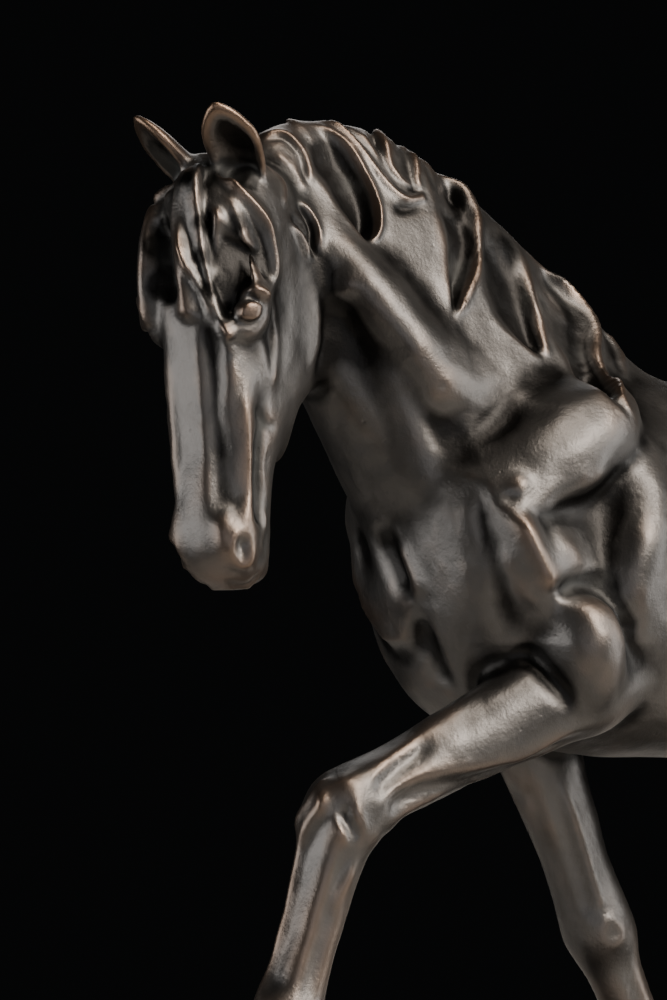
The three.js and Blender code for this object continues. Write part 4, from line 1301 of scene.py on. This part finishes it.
def mesh_of(name, points, faces):
    """Blender mesh from arrays of points in millimetres and of quads or triangles."""
    mesh = bpy.data.meshes.new(name)
    mesh.vertices.add(len(points))
    mesh.vertices.foreach_set("co", (points * MM).astype(np.float32).ravel())
    width = faces.shape[1]
    mesh.loops.add(faces.size)
    mesh.loops.foreach_set("vertex_index", faces.astype(np.int32).ravel())
    mesh.polygons.add(len(faces))
    mesh.polygons.foreach_set("loop_start", np.arange(0, faces.size, width, dtype=np.int32))
    mesh.polygons.foreach_set("use_smooth", np.ones(len(faces), bool))
    mesh.update(calc_edges=True)
    mesh.validate()
    return mesh


def softened(clay, radius):
    """The field averaged over a box of the given half size, true to length on the graded grid."""
    f = np.clip(clay.field, -4, 4)
    for k, a in enumerate(clay.axes):
        a = a.astype(float)
        f = np.moveaxis(f, k, 0)
        steps = (0.5 * np.diff(a)).astype(np.float32)[:, None, None]
        total = np.concatenate([np.zeros_like(f[:1]), np.cumsum((f[1:] + f[:-1]) * steps, axis=0)])
        ends = []
        for place in (a + radius, a - radius):
            index = np.interp(place, a, np.arange(len(a)))
            low = np.clip(index.astype(int), 0, len(a) - 2)
            share = (index - low).astype(np.float32)[:, None, None]
            ends.append(total[low] * (1 - share) + total[low + 1] * share)
        width = (np.minimum(a + radius, a[-1]) - np.maximum(a - radius, a[0])).astype(np.float32)
        f = np.moveaxis((ends[0] - ends[1]) / width[:, None, None], 0, k)
    return f


def settled(clay, points, rounds=2, most=0.35):
    """Points moved on to the skin; on a thin edge, where the slope is weak, they stay."""
    for _ in range(rounds):
        g = clay.slope(points, 0.5)
        steep = (g**2).sum(-1, keepdims=True)
        step = -clay.at(points)[:, None] * g / np.maximum(steep, 0.2)
        far = np.linalg.norm(step, axis=-1, keepdims=True)
        trust = np.clip((np.sqrt(steep) - 0.5) / 0.3, 0, 1)
        points = points + step * trust * np.minimum(1, most / np.maximum(far, 1e-9))
    return points


def neighbour_mean(mesh, values):
    """The mean of each vertex's neighbours along the mesh's edges."""
    ends = np.empty(len(mesh.edges) * 2, np.int32)
    mesh.edges.foreach_get("vertices", ends)
    a, b = ends.reshape(-1, 2).T
    n = len(values)
    count = np.bincount(a, minlength=n) + np.bincount(b, minlength=n)
    total = [np.bincount(a, v[b], n) + np.bincount(b, v[a], n) for v in values.T]
    return np.stack(total, -1) / np.maximum(count, 1)[:, None]


def near_ears(points):
    """Share of each point that is in the skin of an ear, fading within a millimetre of it."""
    far = np.minimum(*(ear_shells(side, *points.T)[0] for side in (1, -1)))
    return (1 - ease((far - 0.6) / 1.0))[:, None]


def smooth_normals(clay, mesh, points):
    """The field's own slope as the normal; on a thin edge, where it is weak, the neighbours' mean."""
    slope = clay.slope(points, 0.55)
    steep = np.linalg.norm(slope, axis=-1, keepdims=True)
    weak = np.maximum(np.clip((0.9 - steep) / 0.3, 0, 1), near_ears(points))
    normals = slope / np.maximum(steep, 1e-6)
    for _ in range(4):
        normals = unit(normals * (1 - weak) + unit(neighbour_mean(mesh, normals) + 1e-9) * weak)
    return normals


# ---------------------------------------------------------------- materials


def linear(code):
    """An sRGB hex colour as linear RGBA."""
    parts = [int(code[i : i + 2], 16) / 255 for i in (1, 3, 5)]
    return tuple(v / 12.92 if v <= 0.04045 else ((v + 0.055) / 1.055) ** 2.4 for v in parts) + (1.0,)


def node(tree, kind, place, inputs=(), out=0, stops=(), **settings):
    """One node with its settings, colour stops and inputs: a socket is linked, a value is set.

    Inputs go by name or number, or in order. The output of the given name or number comes back.
    """
    made = tree.nodes.new("ShaderNode" + kind)
    made.location = place
    for name, value in settings.items():
        setattr(made, name, value)
    for name, value in inputs.items() if isinstance(inputs, dict) else enumerate(inputs):
        if isinstance(value, bpy.types.NodeSocket):
            tree.links.new(value, made.inputs[name])
        else:
            made.inputs[name].default_value = value
    for k, (spot, value) in enumerate(stops):
        if k == len(made.color_ramp.elements):
            made.color_ramp.elements.new(0.5)
        made.color_ramp.elements[k].position = spot
        made.color_ramp.elements[k].color = value if isinstance(value, tuple) else (value, value, value, 1)
    return made.outputs[out] if made.outputs else made


# The darkest colour, for the hollows: deep patina and painted shade.
DEEP_PATINA_AND_SHADE = "#151413"
# How many of each pattern go into a metre, and so about how wide one is.
CLOUD_SCALE = 38.0  # 26 mm, the patches that the torch leaves in a patina
GRAIN_SCALE = 420.0  # 2.4 mm, the grain of the mould
SKIN_SCALE = 1500.0  # 0.7 mm, the bite of the acid
PIT_SCALE = 260.0  # 3.8 mm apart, casting pits


def patinated_bronze(name, settings):
    """Cast bronze under a dark patina: warm where it is rubbed; in the hollows darker with patina and painted shade,
    dull and grey-green with dust.
    """
    material = bpy.data.materials.new(name)
    material.use_nodes = True
    tree = material.node_tree
    tree.nodes.clear()
    dark, light, warm, dust = (tuple(c) for c in (settings.dark, settings.light, settings.worn, settings.dust))
    coords = node(tree, "TexCoord", (-1500, 0), out="Object")
    relief = node(tree, "Attribute", (-1500, 400), out="Fac", attribute_name="relief")
    depth = node(tree, "Attribute", (-1500, 250), out="Fac", attribute_name="hollow")
    cloud, grain, skin = (
        node(tree, "TexNoise", place, {"Vector": coords, "Scale": scale, "Detail": detail, "Roughness": rough})
        for place, scale, detail, rough in (
            ((-1300, 0), CLOUD_SCALE, 4.0, 0.6),
            ((-1300, -250), GRAIN_SCALE, 5.0, 0.65),
            ((-1300, -500), SKIN_SCALE, 3.0, 0.6),
        )
    )
    pits = node(tree, "TexVoronoi", (-1300, -750), {"Vector": coords, "Scale": PIT_SCALE})
    # Rubbed bronze: on ridges, broken up by clouds.
    clouds = node(tree, "Math", (-1150, 150), (cloud, 0.9), operation="MULTIPLY")
    ridges = node(tree, "Math", (-1000, 400), (relief, clouds), operation="ADD")
    rubbed = node(tree, "ValToRGB", (-800, 400), (ridges,), stops=[(0.52, 0.0), (0.95, 1.0)])
    # The hollows are darker, partly patina lying thicker and partly painted shade, with a little dust on it.
    grains = node(tree, "Math", (-1150, -50), (grain, 0.2), operation="MULTIPLY")
    low = node(tree, "Math", (-1000, 100), (depth, grains), operation="ADD")
    deep = node(tree, "ValToRGB", (-800, 100), (low,), stops=[(0.02, 0.0), (0.42, 1.0)])
    dusty = node(tree, "ValToRGB", (-800, 0), (cloud,), stops=[(0.55, 0.0), (0.75, 1.0)])
    dusty = node(tree, "Math", (-650, 0), (dusty, deep), operation="MULTIPLY")
    tone = node(tree, "ValToRGB", (-800, -150), (cloud,), stops=[(0.3, dark), (0.7, light)])
    # Brown shows through on what stands proud, in patches.
    patches = node(tree, "Math", (-1150, 550), (cloud, 1.6), operation="MULTIPLY")
    proud = node(tree, "Math", (-1000, 550), (patches, depth), operation="SUBTRACT")
    over = node(tree, "Math", (-900, 600), (proud, 1.2), operation="SUBTRACT")
    brown = node(tree, "Math", (-850, 600), (over, 0.35), operation="MULTIPLY", use_clamp=True)
    colour = tone
    # Mixed in turn: rubbed bronze, brown on what stands proud, dark patina and painted shade in the hollows, dust.
    for place, share, source, other in (
        ((-500, 200), 0.22, rubbed, warm),
        ((-450, 300), 0.7, brown, warm),
        ((-400, 200), 0.9, deep, linear(DEEP_PATINA_AND_SHADE)),
        ((-300, 200), 0.35, dusty, dust),
    ):
        factor = node(tree, "Math", (place[0] - 120, place[1] + 150), (source, share), operation="MULTIPLY")
        colour = node(tree, "Mix", place, {0: factor, 6: colour, 7: other}, out=2, data_type="RGBA")
    # Dust is rough and isn't metal, and what is rubbed is a little smoother.
    smooth = round(settings.roughness, 4)
    rough = node(tree, "ValToRGB", (-800, -400), (cloud,), stops=[(0.3, smooth), (0.72, smooth + 0.08)])
    part = node(tree, "Math", (-450, -250), (dusty, 0.3), operation="MULTIPLY")
    rough = node(tree, "Math", (-300, -200), (rough, part), operation="ADD", use_clamp=True)
    part = node(tree, "Math", (-350, -350), (rubbed, 0.06), operation="MULTIPLY")
    rough = node(tree, "Math", (-200, -200), (rough, part), operation="SUBTRACT")
    part = node(tree, "Math", (-420, -80), (dusty, 0.4), operation="MULTIPLY")
    metal = node(tree, "Math", (-300, 0), (0.93, part), operation="SUBTRACT")
    pit = node(tree, "ValToRGB", (-1000, -750), (pits,), stops=[(0.02, 0.0), (0.12, 1.0)])
    parts = [
        node(tree, "Math", place, (source, share), operation="MULTIPLY")
        for place, source, share in (((-850, -600), grain, 0.7), ((-850, -700), skin, 0.3), ((-700, -800), pit, 0.25))
    ]
    height = node(tree, "Math", (-700, -650), parts[:2], operation="ADD")
    height = node(tree, "Math", (-550, -650), (height, parts[2]), operation="ADD")
    bump = node(tree, "Bump", (-300, -600), {"Height": height, "Strength": 0.4, "Distance": 0.0004})
    inputs = {"Base Color": colour, "Roughness": rough, "Metallic": metal, "Normal": bump}
    node(tree, "OutputMaterial", (300, 0), {"Surface": node(tree, "BsdfPrincipled", (0, 0), inputs)})
    return material


def pale_floor():
    """Matt pale studio paper."""
    material = bpy.data.materials.new("studio paper")
    material.use_nodes = True
    tree = material.node_tree
    shader = tree.nodes["Principled BSDF"]
    coords = node(tree, "TexCoord", (-900, 0), out="Object")
    fibre = node(tree, "TexNoise", (-700, 0), {"Vector": coords, "Scale": 300.0, "Detail": 4.0})
    tone = node(tree, "ValToRGB", (-450, 0), (fibre,), stops=[(0.3, linear("#c9c7c3")), (0.7, linear("#d2d0cc"))])
    tree.links.new(tone, shader.inputs["Base Color"])
    shader.inputs["Roughness"].default_value = 0.9
    return material


# ---------------------------------------------------------------- pieces


def show(name, mesh, material):
    """A mesh as an object of the scene, at the origin."""
    piece = bpy.data.objects.new(name, mesh)
    mesh.materials.append(material)
    bpy.context.scene.collection.objects.link(piece)
    return piece


def set_point_values(mesh, name, values):
    """A number at each vertex, for the material to read."""
    attribute = mesh.attributes.new(name, "FLOAT", "POINT")
    attribute.data.foreach_set("value", values.astype(np.float32))


def vertices_of(mesh):
    """A mesh's vertices in millimetres."""
    flat = np.empty(len(mesh.vertices) * 3, np.float32)
    mesh.vertices.foreach_get("co", flat)
    return flat.reshape(-1, 3).astype(float) / MM


def dark_patina_and_shade(clay, points):
    """Share of dark patina and painted shade round the places of its table and inside the ears, fading outwards."""
    share = np.zeros(len(points))
    for place, radius in DARK_PATINA_AND_SHADE:
        spot, _ = sighted(clay, [place])
        far = ((points - spot) ** 2).sum(1) / (1.15 * radius) ** 2
        share = np.maximum(share, (1 - np.clip(far, 0, 1)) ** 2)
    for side in (1, -1):
        _, inner, _ = ear_shells(side, *points.T)
        share = np.maximum(share, 1 - ease(inner / 0.6))
    return share


def averaged_at(clay, radius, points):
    """The softened field at points: over zero on a ridge narrower than the box, under it in a hollow."""
    keep, clay.field = clay.field, softened(clay, radius)
    values = clay.at(points)
    clay.field = keep
    return values


def build_horse(settings):
    """The carved field skinned by a net of quads, thinned, settled on the skin and shaded by its slope."""
    fine, coarse = settings.fine_grid / MM, settings.coarse_grid / MM
    clay = Clay(
        graded([[-172, fine], [-96, coarse * 0.85], [-40, coarse], [146, 0]]),
        graded([[-50, fine * 1.05], [6, coarse], [42, 0]]),
        graded([[17, coarse], [155, fine], [264, 0]]),
    )
    shape_figure(clay)
    clay.field = softened(clay, CAST_SOFTNESS)
    clay.carve(*floor_of(clay), 0.01)
    points, faces = net(clay)
    points = settled(clay, points)
    mesh = mesh_of("horse raw", points, faces)
    raw = show("horse raw", mesh, bpy.data.materials.new("raw"))
    triangles = len(faces) * 2
    if triangles > settings.triangles:
        thin = raw.modifiers.new("thin", "DECIMATE")
        thin.ratio = settings.triangles / triangles
    shaped = bpy.data.meshes.new_from_object(raw.evaluated_get(bpy.context.evaluated_depsgraph_get()))
    bpy.data.objects.remove(raw)
    shaped.name = "horse casting"
    shaped.materials.clear()
    points = settled(clay, vertices_of(shaped), 1)
    for _ in range(4):
        points += (neighbour_mean(shaped, points) - points) * 0.5 * near_ears(points)
    relief = averaged_at(clay, RIDGE_REACH, points)
    hollow = -averaged_at(clay, HOLLOW_REACH, points)
    # The hollows get more of the dark patina and painted shade round the listed spots and inside the ears.
    hollow += np.maximum(0, 0.5 - hollow) * dark_patina_and_shade(clay, points)
    normals = smooth_normals(clay, shaped, points)
    points[:, 2] += LIFT
    shaped.vertices.foreach_set("co", (points * MM).astype(np.float32).ravel())
    shaped.polygons.foreach_set("use_smooth", np.ones(len(shaped.polygons), bool))
    shaped.update()
    set_point_values(shaped, "relief", relief)
    set_point_values(shaped, "hollow", hollow)
    shaped.normals_split_custom_set_from_vertices(normals.tolist())
    piece = show("horse_casting", shaped, patinated_bronze("patinated bronze", settings))
    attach(piece, "root")
    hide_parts("horse")
    return piece


def floor_of(clay):
    """The height over the base's top, which cuts the hooves flat."""
    part, x, y, z = clay.window([-172, -50, 17], [146, 42, 24], 0)
    shape = np.broadcast_shapes(x.shape, y.shape, z.shape)
    return part, np.broadcast_to(z - np.float32(BASE_HEIGHT - LIFT - 0.05), shape)


def ring_faces(count, around):
    """Quads between each ring of points and the next."""
    i, j = np.meshgrid(np.arange(count - 1), np.arange(around), indexing="ij")
    k = (j + 1) % around
    corners = [i * around + j, i * around + k, (i + 1) * around + k, (i + 1) * around + j]
    return np.stack(corners, -1).reshape(-1, 4)


def build_base(settings):
    """Superellipse rings: out under the base, up its moulded side and in over its top."""
    length, width, height = (v / MM for v in (settings.length, settings.width, settings.height))
    around = 240
    edge, waist = 3.2, 3.0
    side = between(
        [
            [-edge * 0.6, 0],
            [0, edge * 0.6],
            [0, edge * 1.1],
            [-waist, height * 0.35],
            [-waist, height * 0.6],
            [-1, height - edge],
            [-1 - edge * 0.3, height - edge * 0.3],
            [-1 - edge, height],
        ],
        np.linspace(0, 7, 57),
    )
    angle = np.arange(around) / around * 2 * math.pi
    c, s = signed_power(np.cos(angle), 2 / BASE_SQUARE), signed_power(np.sin(angle), 2 / BASE_SQUARE)

    def ring(a, b, z):
        return np.stack([c * a, s * b, np.full(around, z)], -1)

    foot, top = side[0, 0], side[-1, 0]
    rings = [ring((length / 2 + foot) * k, (width / 2 + foot) * k, 0) for k in np.linspace(0.02, 0.96, 12)]
    rings += [ring(length / 2 + inset, width / 2 + inset, z) for inset, z in side]
    rings += [ring((length / 2 + top) * k, (width / 2 + top) * k, height) for k in np.linspace(0.985, 0.01, 40)]
    points = np.concatenate(rings)
    mesh = mesh_of("base casting", points, ring_faces(len(rings), around))
    z = points[:, 2]
    set_point_values(mesh, "relief", np.where((z > height - 2.5) & (z < height - 0.05), 0.35, 0.0))
    # The moulded waist counts as a hollow, so the dark patina and painted shade darken it.
    set_point_values(mesh, "hollow", np.where((z > 5) & (z < 15), 0.5, 0.1))
    piece = show("base_casting", mesh, patinated_bronze("base bronze", settings))
    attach(piece, "root")
    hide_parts("base")
    return piece


def softbox(name, place, size, power, colour):
    """A rectangular light that faces the lit point."""
    light = bpy.data.lights.new(name, "AREA")
    light.shape = "RECTANGLE"
    light.size, light.size_y = size
    light.energy = power
    light.color = linear(colour)[:3]
    thing = bpy.data.objects.new(name, light)
    bpy.context.scene.collection.objects.link(thing)
    thing.location = Vector(place)
    thing.rotation_euler = (Vector(LIT_POINT) - Vector(place)).to_track_quat("-Z", "Y").to_euler()


def build_stage(settings):
    """A round floor, its surroundings, the studio lights and the camera."""
    scene = bpy.context.scene
    around = 96
    angle = np.arange(around) / around * 2 * math.pi
    circle = np.stack([np.cos(angle), np.sin(angle), np.zeros(around)], -1)
    radii = (1, 120, 240, settings.floor_radius / MM)
    points = np.concatenate([circle * r - [0, 0, 0.05] for r in radii])
    faces = ring_faces(len(radii), around)[:, [0, 3, 2, 1]]
    floor = show("floor", mesh_of("floor", points, faces), pale_floor())
    world = bpy.data.worlds.new("studio")
    world.use_nodes = True
    world.node_tree.nodes["Background"].inputs["Color"].default_value = (0.9, 0.95, 1.0, 1)
    world.node_tree.nodes["Background"].inputs["Strength"].default_value = settings.fill
    scene.world = world
    for name, place, size, power, colour in LIGHTS:
        softbox(name, place, size, power * settings.key, colour)
    camera = bpy.data.cameras.new("camera")
    camera.lens, camera.sensor_width = CAMERA_LENS, CAMERA_SENSOR
    camera.clip_start, camera.clip_end = 0.01, 10
    thing = bpy.data.objects.new("camera", camera)
    thing.location = CAMERA_PLACE
    thing.rotation_euler = (math.radians(90), 0, math.radians(-CAMERA_TURN))
    scene.collection.objects.link(thing)
    scene.camera = thing


# ---------------------------------------------------------------- the add-on


def a_length(name, description, default, **more):
    """A length that a user may change."""
    return bpy.props.FloatProperty(
        name=name, description=description, default=default, subtype="DISTANCE", unit="LENGTH", **more
    )


def a_colour(name, description, code):
    """A colour that a user may change, from its sRGB hex value."""
    return bpy.props.FloatVectorProperty(
        name=name, description=description, default=linear(code), size=4, min=0, max=1, subtype="COLOR"
    )


def a_number(name, description, default):
    """A plain number that a user may change."""
    return bpy.props.FloatProperty(name=name, description=description, default=default)


class HorseSettings(bpy.types.PropertyGroup):
    fine_grid: a_length("Fine grid", "Grid spacing in the head and mane", 0.00048, precision=5)
    coarse_grid: a_length("Coarse grid", "Grid spacing in the body and legs", 0.00120, precision=5)
    triangles: bpy.props.IntProperty(name="Triangles", description="Most triangles in the casting", default=194000)
    dark: a_colour("Dark patina", "Darker patches of the patina", "#4f4d4b")
    light: a_colour("Light patina", "Lighter patches of the patina", "#686562")
    worn: a_colour("Worn bronze", "Bronze that shows where the patina is rubbed", "#876a52")
    dust: a_colour("Dust", "Dust in the hollows", "#60615e")
    roughness: a_number("Roughness", "Roughness of the smoothest patches", 0.36)


class BaseSettings(bpy.types.PropertyGroup):
    length: a_length("Length", "Base length", BASE_LENGTH * MM)
    width: a_length("Width", "Base width", BASE_WIDTH * MM)
    height: a_length("Height", "Base height", BASE_HEIGHT * MM)
    dark: a_colour("Dark patina", "Darker patches of the patina", "#4d4640")
    light: a_colour("Light patina", "Lighter patches of the patina", "#5c534b")
    worn: a_colour("Worn bronze", "Bronze that shows where the patina is rubbed", "#7d5c42")
    dust: a_colour("Dust", "Dust in the hollows", "#53554c")
    roughness: a_number("Roughness", "Roughness of the smoothest patches", 0.42)


class StageSettings(bpy.types.PropertyGroup):
    floor_radius: a_length("Floor radius", "Radius of the pale floor", 0.34)
    key: a_number("Key", "Strength of all studio lights", 1.0)
    fill: a_number("Fill", "Strength of the surroundings", 0.003)


class SCULPTURE_OT_horse(bpy.types.Operator):
    """Add the bronze horse: lofts, muscles, hair and carving joined as one field and skinned"""

    bl_idname = "sculpture.horse"
    bl_label = "Bronze Horse"

    def execute(self, context):
        build_horse(context.scene.sculpture_horse)
        return {"FINISHED"}


class SCULPTURE_OT_base(bpy.types.Operator):
    """Add the oval base: superellipse rings carried up a moulded side and in over the top"""

    bl_idname = "sculpture.base"
    bl_label = "Oval Base"

    def execute(self, context):
        build_base(context.scene.sculpture_base)
        return {"FINISHED"}


class SCULPTURE_OT_stage(bpy.types.Operator):
    """Add the floor, studio lights and camera"""

    bl_idname = "sculpture.stage"
    bl_label = "Studio Stage"

    def execute(self, context):
        build_stage(context.scene.sculpture_stage)
        return {"FINISHED"}


class SCULPTURE_PT_panel(bpy.types.Panel):
    """Settings and buttons for the bronze horse"""

    bl_idname = "SCULPTURE_PT_panel"
    bl_label = "Bronze Horse"
    bl_space_type = "VIEW_3D"
    bl_region_type = "UI"
    bl_category = "Sculpture"

    def draw(self, context):
        scene = context.scene
        for title, settings, operator in (
            ("Horse", scene.sculpture_horse, "sculpture.horse"),
            ("Base", scene.sculpture_base, "sculpture.base"),
            ("Stage", scene.sculpture_stage, "sculpture.stage"),
        ):
            box = self.layout.box()
            box.label(text=title)
            for name in settings.bl_rna.properties.keys():
                if name not in ("rna_type", "name"):
                    box.prop(settings, name)
            box.operator(operator)


CLASSES = (
    HorseSettings,
    BaseSettings,
    StageSettings,
    SCULPTURE_OT_horse,
    SCULPTURE_OT_base,
    SCULPTURE_OT_stage,
    SCULPTURE_PT_panel,
)


def register():
    """Classes first, then the settings on the scene."""
    for cls in CLASSES:
        bpy.utils.register_class(cls)
    bpy.types.Scene.sculpture_horse = bpy.props.PointerProperty(type=HorseSettings)
    bpy.types.Scene.sculpture_base = bpy.props.PointerProperty(type=BaseSettings)
    bpy.types.Scene.sculpture_stage = bpy.props.PointerProperty(type=StageSettings)


def unregister():
    """The settings go before their classes."""
    for name in ("sculpture_horse", "sculpture_base", "sculpture_stage"):
        delattr(bpy.types.Scene, name)
    for cls in reversed(CLASSES):
        bpy.utils.unregister_class(cls)


def main():
    """Base, horse and stage in turn."""
    register()
    bpy.ops.sculpture.base()
    bpy.ops.sculpture.horse()
    bpy.ops.sculpture.stage()


if __name__ == "__main__":
    main()
